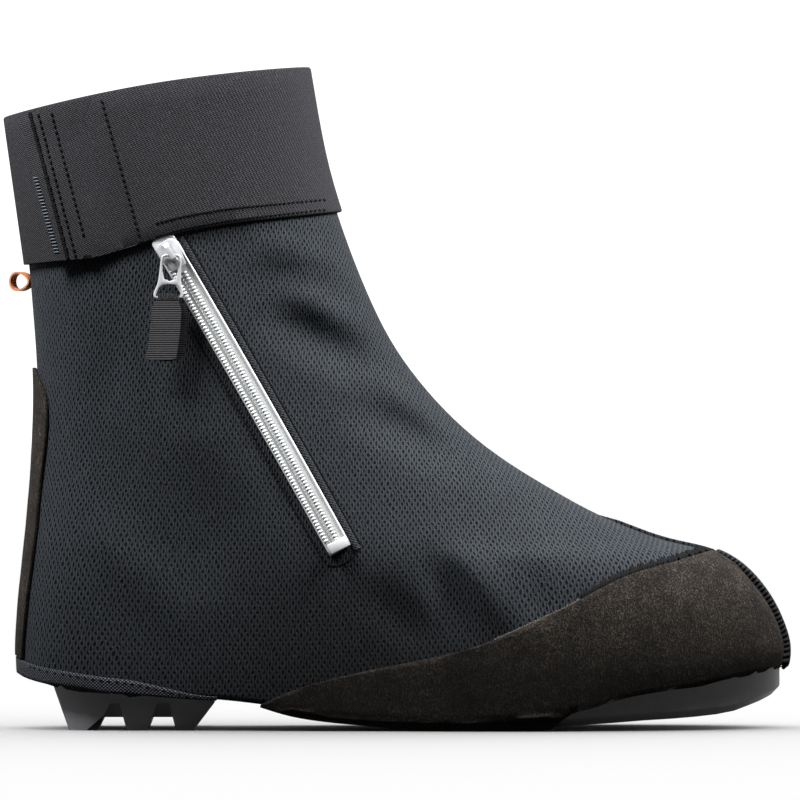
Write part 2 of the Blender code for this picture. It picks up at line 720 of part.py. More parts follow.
def make_toe_strip(group):
    middle = COLUMNS // 2
    overlay("toe_strip", WEBBING_FINISH, group, LIE, STRIP, (middle - 2, middle + 2),
            middle_sides(TOE_STRIP_WIDTH, True), lambda column: 0.0, lambda column: TOE_STRIP_TOP,
            hang=HEM_COVER)


def make_instep_seam(group):
    middle = COLUMNS // 2
    foot = TOE_STRIP_TOP + SEAM_START
    overlay("instep_seam", SOFTSHELL, group, LIE, SEAM_HEIGHT, (middle - 2, middle + 2),
            middle_sides(SEAM_WIDTH, True), lambda column: foot, lambda column: SEAM_END)


def binding_top(column):
    hem = facet_point(0.0, column).z
    return level_where(column, lambda place: place.z > hem + BINDING_WIDTH)


def make_hem_binding(group):
    end = column_past(0.0, BINDING_END * LENGTH)
    overlay("hem_binding", TWILL, group, LIE, BINDING, (-end, end),
            lambda level: (-end, end), lambda column: 0.0, binding_top, hang=HEM_COVER / 2.0)


def make_heel_strip(group):
    def sides(level):
        share = line_at(HEEL_STRIP, facet_point(level, 0.0).z / HEIGHT)
        column = column_off_middle(level, share * HEEL_STRIP_WIDTH / 2.0, False)
        return -column, column

    def foot(column):
        hem = facet_point(0.0, column).z
        return level_where(column, lambda place: place.z > hem + BINDING_WIDTH + 2 * GAP)

    top = level_where(0.0, lambda place: place.z > HEEL_STRIP[-1].x * HEIGHT)
    tip = [level_where(0.0, lambda place: place.z > station.x * HEIGHT)
           for station in HEEL_STRIP[-4:-1]]
    overlay("heel_strip", SUEDE_FINISH, group, LIE, SUEDE, (-6, 6), sides, foot,
            lambda column: top, tip)


# Cuff

def cuff_foot(column):
    return level_over(column, CUFF_EDGE)


def make_cuff(group):
    lowest = floor(min(cuff_foot(column) for column in range(COLUMNS)))
    feet = [cuff_foot(column) for column in range(COLUMNS)]
    rows = []
    for ring in range(lowest, COLLAR + 1):
        rows.append([facet_point(max(ring, feet[column]), column, LIE) for column in range(COLUMNS)])
    for point in rows[-1]:
        point.z += CUFF_RISE
    item = add_object("cuff", grid_mesh("cuff", [rows], closed=True), ELASTIC_FINISH, group)
    thicken(item, ELASTIC, outwards=True)


def line_x(line, z):
    """Place along x of a slanted line at a height."""
    foot, top = line
    share = (z / HEIGHT - foot.height) / (top.height - foot.height)
    return blend(foot.x, top.x, share) * LENGTH


def make_cuff_flap(group):
    def sides(level):
        height = facet_point(level, COLUMNS / 8.0).z
        return (column_past(level, line_x(FLAP_REAR, height)),
                column_past(level, line_x(FLAP_FRONT, height)))

    reach = (sides(COLLAR)[0], max(sides(COLLAR - 3)[1], sides(COLLAR)[1]))
    overlay("cuff_flap", ELASTIC_FINISH, group, LIE + ELASTIC + GAP, FLAP, reach, sides,
            cuff_foot, lambda column: float(COLLAR))


def make_loop_tag(group):
    seat = facet_point(level_where(0.0, lambda place: place.z > TAG_HEIGHT), 0.0)
    high = facet_point(level_where(0.0, lambda place: place.z > TAG_HEIGHT + TAG_WIDTH), 0.0)
    start = min(seat.x, high.x) - GAP
    outer = TAG_GAP / 2.0 + TAG_RIBBON
    straight = TAG_REACH - outer
    outline = [(0.0, outer), (0.0, TAG_GAP / 2.0)]
    outline += [(-x, y) for x, y in arc(straight, 0.0, TAG_GAP / 2.0, pi / 2, -pi / 2, 6)]
    outline += [(0.0, -TAG_GAP / 2.0), (0.0, -outer)]
    outline += [(-x, y) for x, y in arc(straight, 0.0, outer, -pi / 2, pi / 2, 8)]
    frame = Matrix.Translation((start, seat.y, TAG_HEIGHT))
    add_object("loop_tag", prism_mesh("loop_tag", outline, TAG_WIDTH, frame), RIBBON, group)


# Zip

def side_point(x, z, lift):
    """Point of the outer side at a place seen from the side."""
    level = search(0.0, float(COLLAR), lambda trial: facet_point(trial, column_past(trial, x)).z > z)
    return facet_point(level, column_past(level, x), lift)


def zip_place(share, offset=0.0):
    """Place x, z on the zip's line, offset towards the toe across it."""
    (top, middle, foot) = [(station.x * LENGTH, station.height * HEIGHT) for station in ZIP_LINE]
    first = blend(blend(top[0], middle[0], share * 2), blend(middle[0], foot[0], share * 2 - 1), share)
    second = blend(blend(top[1], middle[1], share * 2), blend(middle[1], foot[1], share * 2 - 1), share)
    run = Vector((foot[0] - top[0], foot[1] - top[1])).normalized()
    return first - run.y * offset, second + run.x * offset


def zip_frame(share, lift):
    """Frame on the zip's line: x runs down the zip, y across it, z out of the shoe."""
    middle = side_point(*zip_place(share), lift)
    ahead = side_point(*zip_place(share + RUN_STEP), lift)
    behind = side_point(*zip_place(share - RUN_STEP), lift)
    aside = side_point(*zip_place(share, SIDE_STEP), lift)
    down = (ahead - behind).normalized()
    out = (aside - middle).cross(down).normalized()
    if out.y > 0.0:
        out.negate()
    across = out.cross(down).normalized()
    return frame_from(middle, down, across, out)


def zip_band(name, finish, group, lift, thickness, offsets, start, end):
    """Strip along the zip between two shares of its line."""
    rows = []
    for offset in offsets:
        row = []
        for step in range(ZIP_STEPS + 1):
            share = blend(start, end, step / ZIP_STEPS)
            x, z = zip_place(share, offset)
            roof = height_on(CUFF_EDGE, x, HEIGHT) - ZIP_CLEAR
            row.append(side_point(x, min(z, roof), lift))
        rows.append(row)
    item = add_object(name, grid_mesh(name, [rows]), finish, group)
    thicken(item, thickness, outwards=True)


def make_zip(group, cutters):
    half = ZIP_WIDTH / 2.0
    span = side_point(*zip_place(1.0), 0.0) - side_point(*zip_place(0.0), 0.0)
    share = 1.0 / span.length
    on_tape = LIE + ZIP_TAPE + GAP
    zip_band("zip_tape", ZIP_SILVER, group, LIE, ZIP_TAPE, (-half, 0.0, half), 0.0, 1.0)
    slider_end = SLIDER_PLACE + (SLIDER_LENGTH / 2.0 + 2 * GAP) * share
    stop_start = 1.0 - (STOP_LENGTH + 2 * GAP) * share
    teeth = (-TEETH_OFFSET - TEETH_WIDTH / 2.0, -TEETH_OFFSET + TEETH_WIDTH / 2.0)
    zip_band("zip_teeth", ZIP_SILVER, group, on_tape, TEETH_HEIGHT, teeth, slider_end, stop_start)

    stop_frame = zip_frame(1.0 - STOP_LENGTH * share / 2.0, on_tape + STOP_HEIGHT / 2.0)
    long, wide = STOP_LENGTH / 2.0, STOP_WIDTH / 2.0
    stop_outline = [(-long, -wide), (long, -wide), (long, wide), (-long, wide)]
    stop = add_object("zip_stop", prism_mesh("zip_stop", stop_outline, STOP_HEIGHT, stop_frame),
                      ZIP_METAL, group)
    rounding = stop.modifiers.new("Edges", "BEVEL")
    rounding.width = STOP_HEIGHT / 5.0
    rounding.segments = 2

    body_frame = zip_frame(SLIDER_PLACE, on_tape + SLIDER_HEIGHT / 2.0)
    long, wide = SLIDER_LENGTH / 2.0, SLIDER_WIDTH / 2.0
    body_outline = [(long * corner.along, -wide * corner.across) for corner in SLIDER_PLAN]
    body_outline += [(long * corner.along, wide * corner.across) for corner in reversed(SLIDER_PLAN)]
    slider = add_object("zip_slider", prism_mesh("zip_slider", body_outline, SLIDER_HEIGHT,
                                                 body_frame), ZIP_METAL, group)
    crown_frame = body_frame @ frame_from(Vector((CROWN_BACK, 0.0, SLIDER_HEIGHT / 2.0)),
                                          Vector((1, 0, 0)), Vector((0, 0, 1)), Vector((0, -1, 0)))
    reach = CROWN_LENGTH / 2.0
    rise = CROWN_GAP + CROWN_THICKNESS
    foot = -SLIDER_HEIGHT / 3.0
    outline = [(-reach, foot), (-reach, rise - CROWN_BEND), (-reach + CROWN_BEND, rise),
               (reach - CROWN_BEND, rise), (reach, rise - CROWN_BEND), (reach, foot),
               (reach - CROWN_POST, foot), (reach - CROWN_POST, CROWN_GAP),
               (-reach + CROWN_POST, CROWN_GAP), (-reach + CROWN_POST, foot)]
    crown = add_cutter("slider crown", prism_mesh("slider crown", outline, CROWN_WIDTH,
                                                  crown_frame), cutters)
    combine(slider, crown, "UNION")
    return body_frame


def hinge_frame(body_frame):
    """Frame of the pull: x along its hinge, y up the shoe's side, z out of the shoe."""
    height = SLIDER_HEIGHT / 2.0 + HINGE_RISE
    origin = body_frame @ Vector((HINGE_SHIFT, 0.0, height))
    out = (body_frame.to_3x3() @ Vector((0.0, 0.0, 1.0))).normalized()
    along = Vector((0.0, 0.0, 1.0)).cross(out).normalized() * -1.0
    if along.x < 0.0:
        along.negate()
    up = out.cross(along).normalized()
    lean = Matrix.Rotation(PULL_LEAN, 3, along)
    return frame_from(origin, along, lean @ up, lean @ out)


def tube(name, points, radius, cyclic, group):
    """Wire through points, as a mesh."""
    curve = bpy.data.curves.new(name, "CURVE")
    curve.dimensions = "3D"
    curve.bevel_depth = radius
    curve.bevel_resolution = 2
    curve.use_fill_caps = not cyclic
    spline = curve.splines.new("POLY")
    spline.points.add(len(points) - 1)
    for point, place in zip(spline.points, points):
        point.co = (*place, 1.0)
    spline.use_cyclic_u = cyclic
    wire = bpy.data.objects.new(name, curve)
    group.objects.link(wire)
    graph = bpy.context.evaluated_depsgraph_get()
    mesh = bpy.data.meshes.new_from_object(wire.evaluated_get(graph))
    bpy.data.objects.remove(wire, do_unlink=True)
    build = bmesh.new()
    build.from_mesh(mesh)
    bmesh.ops.remove_doubles(build, verts=build.verts, dist=MERGE)
    bmesh.ops.recalc_face_normals(build, faces=build.faces)
    build.to_mesh(mesh)
    build.free()
    return mesh


def make_pull(group, cutters, hinge):
    axis = bpy.data.objects.new("zip_pull_axis", None)
    group.objects.link(axis)
    axis.matrix_world = hinge
    eye, foot = PULL_EYE / 2.0, PULL_FOOT / 2.0
    corner = PULL_WIRE
    cut = corner * PULL_CORNER
    flare = (blend(eye, foot, PULL_FLARE.along), -blend(PULL_WAIST, PULL_LENGTH, PULL_FLARE.across))
    right = [(eye - corner, 0.0), (eye - cut, -cut), (eye, -corner), (eye, -PULL_WAIST), flare,
             (foot, -PULL_LENGTH + corner), (foot - cut, -PULL_LENGTH + cut),
             (foot - corner, -PULL_LENGTH)]
    loop = right + [(-x, y) for x, y in reversed(right)]
    mesh = tube("zip_pull", [(x, y, 0.0) for x, y in loop], PULL_WIRE / 2.0, True, group)
    pull = add_object("zip_pull", mesh, ZIP_METAL, group, axis)
    bar = tube("cross bar", [(-eye, -PULL_WAIST, 0.0), (eye, -PULL_WAIST, 0.0)],
               PULL_WIRE / 2.0, False, group)
    bar.transform(hinge)
    combine(pull, add_cutter("cross bar", bar, cutters), "UNION")

    side_frame = frame_from(Vector(), Vector((0, 1, 0)), Vector((0, 0, 1)), Vector((1, 0, 0)))
    hole = PULL_WIRE / 2.0 + GAP
    neck = hole + WEBBING
    end = PULL_LENGTH + NECK_LENGTH
    outline = [(-PULL_LENGTH + x, y) for x, y in arc(0.0, 0.0, neck, -pi / 2, pi / 2, 8)]
    outline += [(-end, WEBBING), (-end, -WEBBING)]
    webbing = add_object("pull_webbing", prism_mesh("pull_webbing", outline, NECK_WIDTH,
                                                    side_frame), WEBBING_FINISH, group, axis)
    tab = [(-end + GAP, -WEBBING), (-end + GAP, WEBBING),
           (-PULL_LENGTH - WEBBING_LENGTH, WEBBING), (-PULL_LENGTH - WEBBING_LENGTH, -WEBBING)]
    leaf = prism_mesh("webbing leaf", tab, WEBBING_WIDTH, hinge @ side_frame)
    combine(webbing, add_cutter("webbing leaf", leaf, cutters), "UNION")
    rod = [(-PULL_LENGTH + x, y) for x, y in arc(0.0, 0.0, hole, 0.0, tau * 11 / 12, 11)]
    drill = prism_mesh("webbing hole", rod, NECK_WIDTH * 2.0, hinge @ side_frame)
    combine(webbing, add_cutter("webbing hole", drill, cutters), "DIFFERENCE")


def main():
    clear_scene()
    parts = make_collection("winter_overshoe")
    cutters = make_collection("cutters")
    make_upper(parts)
    make_outsole(parts, cutters)
    make_insole(parts)
    make_toe_guard(parts)
    make_toe_strip(parts)
    make_instep_seam(parts)
    make_hem_binding(parts)
    make_heel_strip(parts)
    make_cuff(parts)
    make_cuff_flap(parts)
    make_loop_tag(parts)
    body_frame = make_zip(parts, cutters)
    make_pull(parts, cutters, hinge_frame(body_frame))


main()
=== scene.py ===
"""Looks of a winter overshoe: softshell, suede, elastic cuff and side zip, laid over its frame.

The toe points to +X, the outer side of the foot to -Y, and the floor is z = 0.
"""

import json
from collections import namedtuple
from math import pi, radians

import bpy
import numpy as np
from mathutils import Matrix, Vector
from mathutils.bvhtree import BVHTree

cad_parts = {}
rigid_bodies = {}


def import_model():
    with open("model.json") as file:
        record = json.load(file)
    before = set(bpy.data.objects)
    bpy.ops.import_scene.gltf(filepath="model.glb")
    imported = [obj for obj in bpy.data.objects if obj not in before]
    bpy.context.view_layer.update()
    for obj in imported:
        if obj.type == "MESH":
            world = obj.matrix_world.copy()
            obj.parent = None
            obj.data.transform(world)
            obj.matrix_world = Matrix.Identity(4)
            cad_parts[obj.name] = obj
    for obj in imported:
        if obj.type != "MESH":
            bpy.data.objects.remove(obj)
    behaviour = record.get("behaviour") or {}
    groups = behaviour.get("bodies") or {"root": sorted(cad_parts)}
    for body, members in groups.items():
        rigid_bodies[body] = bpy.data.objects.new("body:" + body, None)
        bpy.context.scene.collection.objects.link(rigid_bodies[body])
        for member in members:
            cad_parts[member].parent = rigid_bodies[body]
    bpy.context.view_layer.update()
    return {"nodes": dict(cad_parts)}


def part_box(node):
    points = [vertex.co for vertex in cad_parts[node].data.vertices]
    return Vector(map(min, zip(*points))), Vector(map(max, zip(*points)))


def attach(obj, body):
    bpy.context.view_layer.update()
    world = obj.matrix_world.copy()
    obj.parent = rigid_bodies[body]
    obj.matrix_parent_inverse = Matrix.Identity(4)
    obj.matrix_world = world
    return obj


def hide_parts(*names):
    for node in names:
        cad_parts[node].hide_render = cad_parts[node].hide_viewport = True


bl_info = {
    "name": "Winter Overshoe",
    "version": (1, 0, 0),
    "blender": (4, 5, 0),
    "location": "View3D > Sidebar > Overshoe",
    "description": "Dresses the frame of a softshell winter overshoe",
    "category": "Object",
}

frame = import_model()
UPPER_LOW, UPPER_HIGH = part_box("upper")
LENGTH = UPPER_HIGH.x - UPPER_LOW.x
HEIGHT = UPPER_HIGH.z
OUTER, INNER = -1.0, 1.0   # sides of the shoe along Y

MERGE = 0.00002             # corners closer than this are one
SHARP = radians(40.0)       # edges that stay flat-shaded
CREASE_ANGLE, CREASE = radians(50.0), 0.8   # edges that stay sharp when subdivided, and how sharp

# Places seen from the side: x is a share of LENGTH from the middle, z a share of HEIGHT
Place = namedtuple("Place", "x z")


def metres(place):
    return place.x * LENGTH, place.z * HEIGHT


# Foot of the shaft's middle line, and front end of the foot's
SHAFT, FOOT = Place(-0.31, 0.39), Place(0.36, 0.12)
# Middle line of the zip, from its top to its foot
ZIP_TOP, ZIP_MIDDLE, ZIP_FOOT = Place(-0.3042, 0.7386), Place(-0.1902, 0.5051), Place(-0.0793, 0.2717)
# How far its two coils and the seams beside it lie from that line, and the size of one turn of a coil
COIL_OFFSETS, SEAM_OFFSET = (-0.0032, 0.0008), 0.0080
COIL_BEAD = (0.0020, 0.00105, 0.0012)

# Soft troughs (depth below zero) and ridges of the softshell, drawn on one side of the shoe
Fold = namedtuple("Fold", "side start middle end depth width")
FOLDS = (
    Fold(OUTER, Place(-0.196, 0.640), Place(-0.074, 0.572), Place(0.030, 0.495), -0.0050, 0.0140),
    Fold(OUTER, Place(-0.205, 0.736), Place(-0.142, 0.722), Place(-0.070, 0.668), 0.0034, 0.0120),
    Fold(OUTER, Place(-0.188, 0.700), Place(-0.111, 0.681), Place(-0.045, 0.630), -0.0034, 0.0100),
    Fold(OUTER, Place(-0.165, 0.676), Place(-0.111, 0.649), Place(-0.040, 0.596), 0.0030, 0.0100),
    Fold(OUTER, Place(-0.080, 0.575), Place(-0.006, 0.511), Place(0.075, 0.460), 0.0034, 0.0120),
    Fold(OUTER, Place(-0.085, 0.505), Place(-0.004, 0.458), Place(0.085, 0.400), -0.0036, 0.0140),
    Fold(OUTER, Place(0.020, 0.290), Place(0.054, 0.216), Place(0.088, 0.135), -0.0032, 0.0120),
    Fold(OUTER, Place(0.060, 0.300), Place(0.105, 0.216), Place(0.135, 0.140), 0.0026, 0.0100),
    Fold(OUTER, Place(0.142, 0.270), Place(0.166, 0.209), Place(0.178, 0.155), -0.0022, 0.0100),
    Fold(OUTER, Place(0.140, 0.320), Place(0.190, 0.270), Place(0.240, 0.228), 0.0014, 0.0110),
    Fold(OUTER, Place(-0.270, 0.440), Place(-0.242, 0.316), Place(-0.250, 0.190), -0.0021, 0.0220),
    Fold(OUTER, Place(-0.050, 0.226), Place(0.000, 0.170), Place(0.045, 0.120), -0.0018, 0.0120),
    Fold(OUTER, Place(-0.400, 0.640), Place(-0.372, 0.560), Place(-0.380, 0.460), -0.0015, 0.0120),
    Fold(OUTER, Place(-0.400, 0.330), Place(-0.340, 0.250), Place(-0.260, 0.130), 0.0012, 0.0160),
    Fold(INNER, Place(-0.200, 0.640), Place(-0.090, 0.566), Place(0.022, 0.500), -0.0048, 0.0150),
    Fold(INNER, Place(-0.260, 0.540), Place(-0.140, 0.470), Place(-0.020, 0.420), -0.0030, 0.0120),
    Fold(INNER, Place(0.050, 0.310), Place(0.104, 0.260), Place(0.150, 0.190), -0.0036, 0.0130),
    Fold(INNER, Place(-0.360, 0.420), Place(-0.330, 0.300), Place(-0.340, 0.180), -0.0021, 0.0200),
    Fold(INNER, Place(-0.080, 0.250), Place(-0.010, 0.190), Place(0.040, 0.150), 0.0018, 0.0130),
)
SEAM_SUNK = 0.0012          # how much further the instep seam goes down into the shell
GUARD_TOP = 0.0021          # how high the suede's outer face stands above the shell
PULL_LEAN = 0.10            # how far the pull hangs askew, over its length
PULL_DROP = 0.0029          # how much longer the bent wire hangs than the straight one
TOE_DENT = 0.0026           # how far the toe sinks beside its strip
TOE_DENT_FLAT, TOE_DENT_WIDTH = 0.0075, 0.0190   # distances aside where it is full and where it ends
FOLD_CLEAR, FOLD_FULL = 0.010, 0.026   # distances from the middle line where folds begin and are full

Row = namedtuple("Row", "top foot")
# Stitch rows of the cuff's overlapping end, and the bar tack below it
FLAP_ROWS = (
    Row(Place(-0.4644, 0.9320), Place(-0.4157, 0.7118)),
    Row(Place(-0.4477, 0.9338), Place(-0.4054, 0.7437)),
    Row(Place(-0.3836, 0.9521), Place(-0.3348, 0.7437)),
)
CUFF_FOOT = (0.66, 0.86)    # shares of HEIGHT between which the cuff's lower edge lies
LADDER = Row(Place(-0.4683, 0.8365), Place(-0.4401, 0.7194))
KNOT = Place(-0.4016, 0.7113)


# Property groups: the sizes and colours that a user would change

def tint(name, description, default):
    return bpy.props.FloatVectorProperty(name=name, description=description, default=default,
                                         subtype="COLOR", size=3, min=0.0, max=1.0)


def distance(name, description, default, least=0.0001):
    return bpy.props.FloatProperty(name=name, description=description, default=default,
                                   unit="LENGTH", min=least)


class FabricSettings(bpy.types.PropertyGroup):
    shell_color: tint("Softshell", "Colour of the softshell between its dimples",
                      (0.0064, 0.0073, 0.0084))
    dimple_color: tint("Dimples", "Colour in the dimples of the softshell", (0.0014, 0.0015, 0.0017))
    dimple_width: distance("Dimple pitch", "Distance between dimples around the shoe", 0.0022)
    dimple_height: distance("Dimple row", "Distance between dimples up the shoe", 0.0017)
    suede_color: tint("Suede", "Colour of the suede's nap", (0.0066, 0.0055, 0.0047))
    elastic_color: tint("Elastic", "Colour of the cuff's elastic band", (0.0132, 0.0129, 0.0146))
    binding_color: tint("Binding", "Colour of the twill tape around the heel", (0.0185, 0.0200, 0.0240))
    ribbon_color: tint("Ribbon", "Colour of the small ribbon loop at the back", (0.190, 0.062, 0.020))


class ZipSettings(bpy.types.PropertyGroup):
    silver: tint("Silver", "Colour of the zip's tape and coils", (0.235, 0.242, 0.242))
    enamel: tint("Enamel", "Colour of the slider and its wire pull", (0.190, 0.193, 0.199))
    turn_pitch: distance("Coil pitch", "Distance between turns of the zip's coils", 0.00140)


class StitchSettings(bpy.types.PropertyGroup):
    thread: distance("Thread", "Thickness of the sewing thread", 0.00042)
    stitch: distance("Stitch", "Length of one stitch of the cuff's rows", 0.0016)


# Shader maths

class Shade:
    """A socket's value, with arithmetic that adds Math nodes."""

    def __init__(self, recipe, socket):
        self.recipe, self.socket = recipe, socket

    def math(self, operation, *others):
        inputs = {index: value for index, value in enumerate((self, *others))}
        return self.recipe.node("ShaderNodeMath", {"operation": operation}, inputs)

    def __add__(self, other):
        return self.math("ADD", other)

    __radd__ = __add__

    def __sub__(self, other):
        return self.math("SUBTRACT", other)

    def __rsub__(self, other):
        return (self * -1.0) + other

    def __mul__(self, other):
        return self.math("MULTIPLY", other)

    __rmul__ = __mul__

    def __truediv__(self, other):
        return self.math("DIVIDE", other)

    def __pow__(self, other):
        return self.math("POWER", other)

    def floor(self):
        return self.math("FLOOR")

    def fraction(self):
        return self.math("FRACT")

    def size(self):
        return self.math("ABSOLUTE")

    def wave(self, pitch):
        """Wave between 0 and 1 that repeats at a pitch."""
        return (self * (2.0 * pi / pitch)).math("SINE") * 0.5 + 0.5

    def clipped(self):
        return self.math("MINIMUM", 1.0).math("MAXIMUM", 0.0)

    def step(self, low, high):
        """Smooth rise from 0 at low to 1 at high."""
        return self.recipe.node("ShaderNodeMapRange", {"interpolation_type": "SMOOTHSTEP"},
                                {0: self, 1: low, 2: high, 3: 0.0, 4: 1.0})


class Recipe:
    """A material and the one method that adds its nodes."""

    def __init__(self, name, gloss=0.04):
        self.material = bpy.data.materials.new(name)
        self.material.use_nodes = True
        self.tree = self.material.node_tree
        self.shader = self.tree.nodes["Principled BSDF"]
        self.shader.inputs["Specular IOR Level"].default_value = gloss

    def node(self, kind, settings=None, values=None, output=0):
        made = self.tree.nodes.new(kind)
        for key, value in (settings or {}).items():
            setattr(made, key, value)
        for key, value in (values or {}).items():
            if isinstance(value, Shade):
                self.tree.links.new(value.socket, made.inputs[key])
            else:
                made.inputs[key].default_value = value
        return Shade(self, made.outputs[output])

    def parts(self, vector):
        """The x, y and z of a vector."""
        split = self.node("ShaderNodeSeparateXYZ", None, {0: vector}).socket.node
        return [Shade(self, split.outputs[axis]) for axis in range(3)]

    def place(self):
        """Position on the shoe, in metres."""
        return self.node("ShaderNodeTexCoord", output=3)

    def cloth(self):
        """Position on the flat pattern of a cloth piece, in metres."""
        return self.node("ShaderNodeTexCoord", output=2)

    def noise(self, vector, size, detail=3.0, roughness=0.55):
        return self.node("ShaderNodeTexNoise", None,
                         {"Vector": vector, "Scale": 1.0 / size, "Detail": detail,
                          "Roughness": roughness})

    def stretch(self, vector, scale):
        return self.node("ShaderNodeMapping", None, {"Vector": vector, "Scale": scale})

    def mix(self, factor, low, high):
        """Colour between two colours."""
        colors = [value if isinstance(value, Shade) else (*value[:3], 1.0) for value in (low, high)]
        return self.node("ShaderNodeMix", {"data_type": "RGBA"},
                         {0: factor, 6: colors[0], 7: colors[1]}, output=2)

    def bump(self, height, distance, strength=1.0):
        return self.node("ShaderNodeBump", None,
                         {"Height": height, "Distance": distance, "Strength": strength})

    def finish(self, color, roughness, normal=None, **constants):
        for socket, value in (("Base Color", color), ("Roughness", roughness), ("Normal", normal)):
            if isinstance(value, Shade):
                self.tree.links.new(value.socket, self.shader.inputs[socket])
            elif value is not None:
                self.shader.inputs[socket].default_value = value
        for name, value in constants.items():
            self.shader.inputs[name.replace("_", " ").title()].default_value = value
        return self.material


class Surroundings(Recipe):
    """The world around the shoe, whose nodes are added in the same way."""

    def __init__(self, name):
        self.world = bpy.data.worlds.new(name)
        self.world.use_nodes = True
        self.tree = self.world.node_tree

    def finish(self, strength):
        background = self.tree.nodes["Background"]
        background.inputs["Color"].default_value = (1.0, 1.0, 1.0, 1.0)
        self.tree.links.new(strength.socket, background.inputs["Strength"])
        return self.world


def lighter(color, factor):
    return tuple(min(channel * factor, 1.0) for channel in color[:3])


def settings(name):
    return getattr(bpy.context.scene, name)


# Materials

BLACK_THREAD = ("black_thread", (0.0016, 0.0016, 0.0018))
BLACK = (0.0, 0.0, 0.0)


def once(build):
    """Makes a material the first time that its name is asked for."""
    def shared(name, *options):
        return bpy.data.materials.get(name) or build(Recipe(name), *options)
    return shared


@once
def softshell(recipe):
    """Dimpled softshell: staggered dark dimples in a soft knit face."""
    fabric = settings("overshoe_fabric")
    across, along, _ = recipe.parts(recipe.cloth())
    warp = recipe.noise(recipe.place(), 0.0060, 2.0) - 0.5
    rows = along / fabric.dimple_height + warp * 0.9
    shift = (rows.floor() * 0.5).fraction()
    column = across / fabric.dimple_width + shift + rows * -0.03 + warp * 0.9
    here, there = column.fraction() - 0.5, rows.fraction() - 0.5
    wobble = recipe.noise(recipe.place(), 0.0010, 2.0) - 0.5
    slant = here + there * 0.06
    away = (slant / 0.185) ** 2.0 + (there / 0.47) ** 2.0 + wobble * 3.2
    dimple = 1.0 - away.step(0.10, 1.50)
    ridge = away.step(1.2, 2.2) * (1.0 - away.step(2.6, 5.5))
    fibre = recipe.noise(recipe.stretch(recipe.place(), (1.6, 1.0, 0.7)), 0.00040, 2.0)
    blotch = recipe.noise(recipe.place(), 0.030, 2.0)
    face = recipe.mix(blotch, lighter(fabric.shell_color, 0.86), lighter(fabric.shell_color, 1.14))
    face = recipe.mix(fibre.step(0.35, 0.75), face, lighter(fabric.shell_color, 1.9))
    # Painted highlight: the raised ring round each dimple is lighter, as if it caught the light
    face = recipe.mix(ridge * (0.45 + blotch * 0.6), face, lighter(fabric.shell_color, 3.4))
    color = recipe.mix(dimple * (0.72 + blotch * 0.5).clipped(), face, fabric.dimple_color)
    x, _, z = recipe.parts(recipe.place())
    # Painted shade: darker towards the hem, most of all below the zip
    middle = x.step(-0.34 * LENGTH, -0.10 * LENGTH) * (1.0 - x.step(0.0, 0.18 * LENGTH))
    low = (1.0 - z.step(0.06 * HEIGHT, 0.38 * HEIGHT)) * (middle * 0.48 + 0.10)
    color = recipe.mix(low, color, BLACK)
    height = (1.0 - dimple) + ridge * 0.35 + fibre * 0.35
    normal = recipe.bump(height, 0.00045, 0.9)
    return recipe.finish(color, 0.78 + dimple * 0.12, normal,
                         sheen_weight=0.015, sheen_roughness=0.35, sheen_tint=(0.74, 0.88, 1.0, 1.0))


def lining():
    """Brushed knit inside the shell."""
    recipe = Recipe("brushed_lining")
    nap = recipe.noise(recipe.place(), 0.0006, 3.0)
    color = recipe.mix(nap.step(0.3, 0.7), (0.020, 0.021, 0.023), (0.050, 0.052, 0.055))
    return recipe.finish(color, 0.95, recipe.bump(nap, 0.0005, 0.8))


@once
def suede(recipe):
    """Brown suede: dark nap with light fibre ends, brushed in patches."""
    base = settings("overshoe_fabric").suede_color
    place = recipe.place()
    brushed = recipe.noise(place, 0.016, 3.0, 0.6)
    patch = recipe.noise(place, 0.0045, 3.0, 0.6)
    fibre = recipe.noise(recipe.stretch(place, (1.0, 1.0, 1.7)), 0.00060, 4.0, 0.75)
    speck = recipe.noise(recipe.stretch(place, (1.5, 1.0, 0.8)), 0.00080, 3.0, 0.8)
    shade = (brushed * 0.5 + patch * 0.5).step(0.30, 0.70)
    color = recipe.mix(shade, lighter(base, 0.30), lighter(base, 1.1))
    ends = recipe.mix(shade, lighter(base, 3.0), lighter(base, 11.0))
    color = recipe.mix(fibre.step(0.42, 0.66) * 0.55, color, lighter(base, 2.2))
    color = recipe.mix(speck.step(0.46, 0.68) * 0.80, color, ends)
    # Painted shade: the suede is darker towards the floor
    _, _, z = recipe.parts(place)
    low = (1.0 - z.step(0.02 * HEIGHT, 0.25 * HEIGHT)) * 0.52
    color = recipe.mix(low, color, BLACK)
    height = fibre * 0.6 + speck * 0.6 + patch * 0.5
    return recipe.finish(color, 0.97, recipe.bump(height, 0.0014, 1.0),
                         sheen_weight=0.012, sheen_roughness=0.5, sheen_tint=(1.0, 0.90, 0.80, 1.0))


def braided(name, color, pitch, relief):
    """Braid of crossed threads around the heel, each thread lit along its middle."""
    recipe = Recipe(name)
    x, y, z = recipe.parts(recipe.place())
    along = x + y.size()
    left = (along + z * 1.3).wave(pitch)
    right = (along - z * 1.3).wave(pitch)
    fuzz = recipe.noise(recipe.place(), pitch * 0.5, 3.0, 0.7)
    threads = left * 0.5 + right * 0.5 + (fuzz - 0.5) * 0.5
    shade = recipe.mix(threads.step(0.25, 0.75), lighter(color, 0.25), lighter(color, 1.3))
    shade = recipe.mix(threads.step(0.70, 1.0), shade, lighter(color, 4.0))
    return recipe.finish(shade, 0.82, recipe.bump(threads, relief, 1.0))


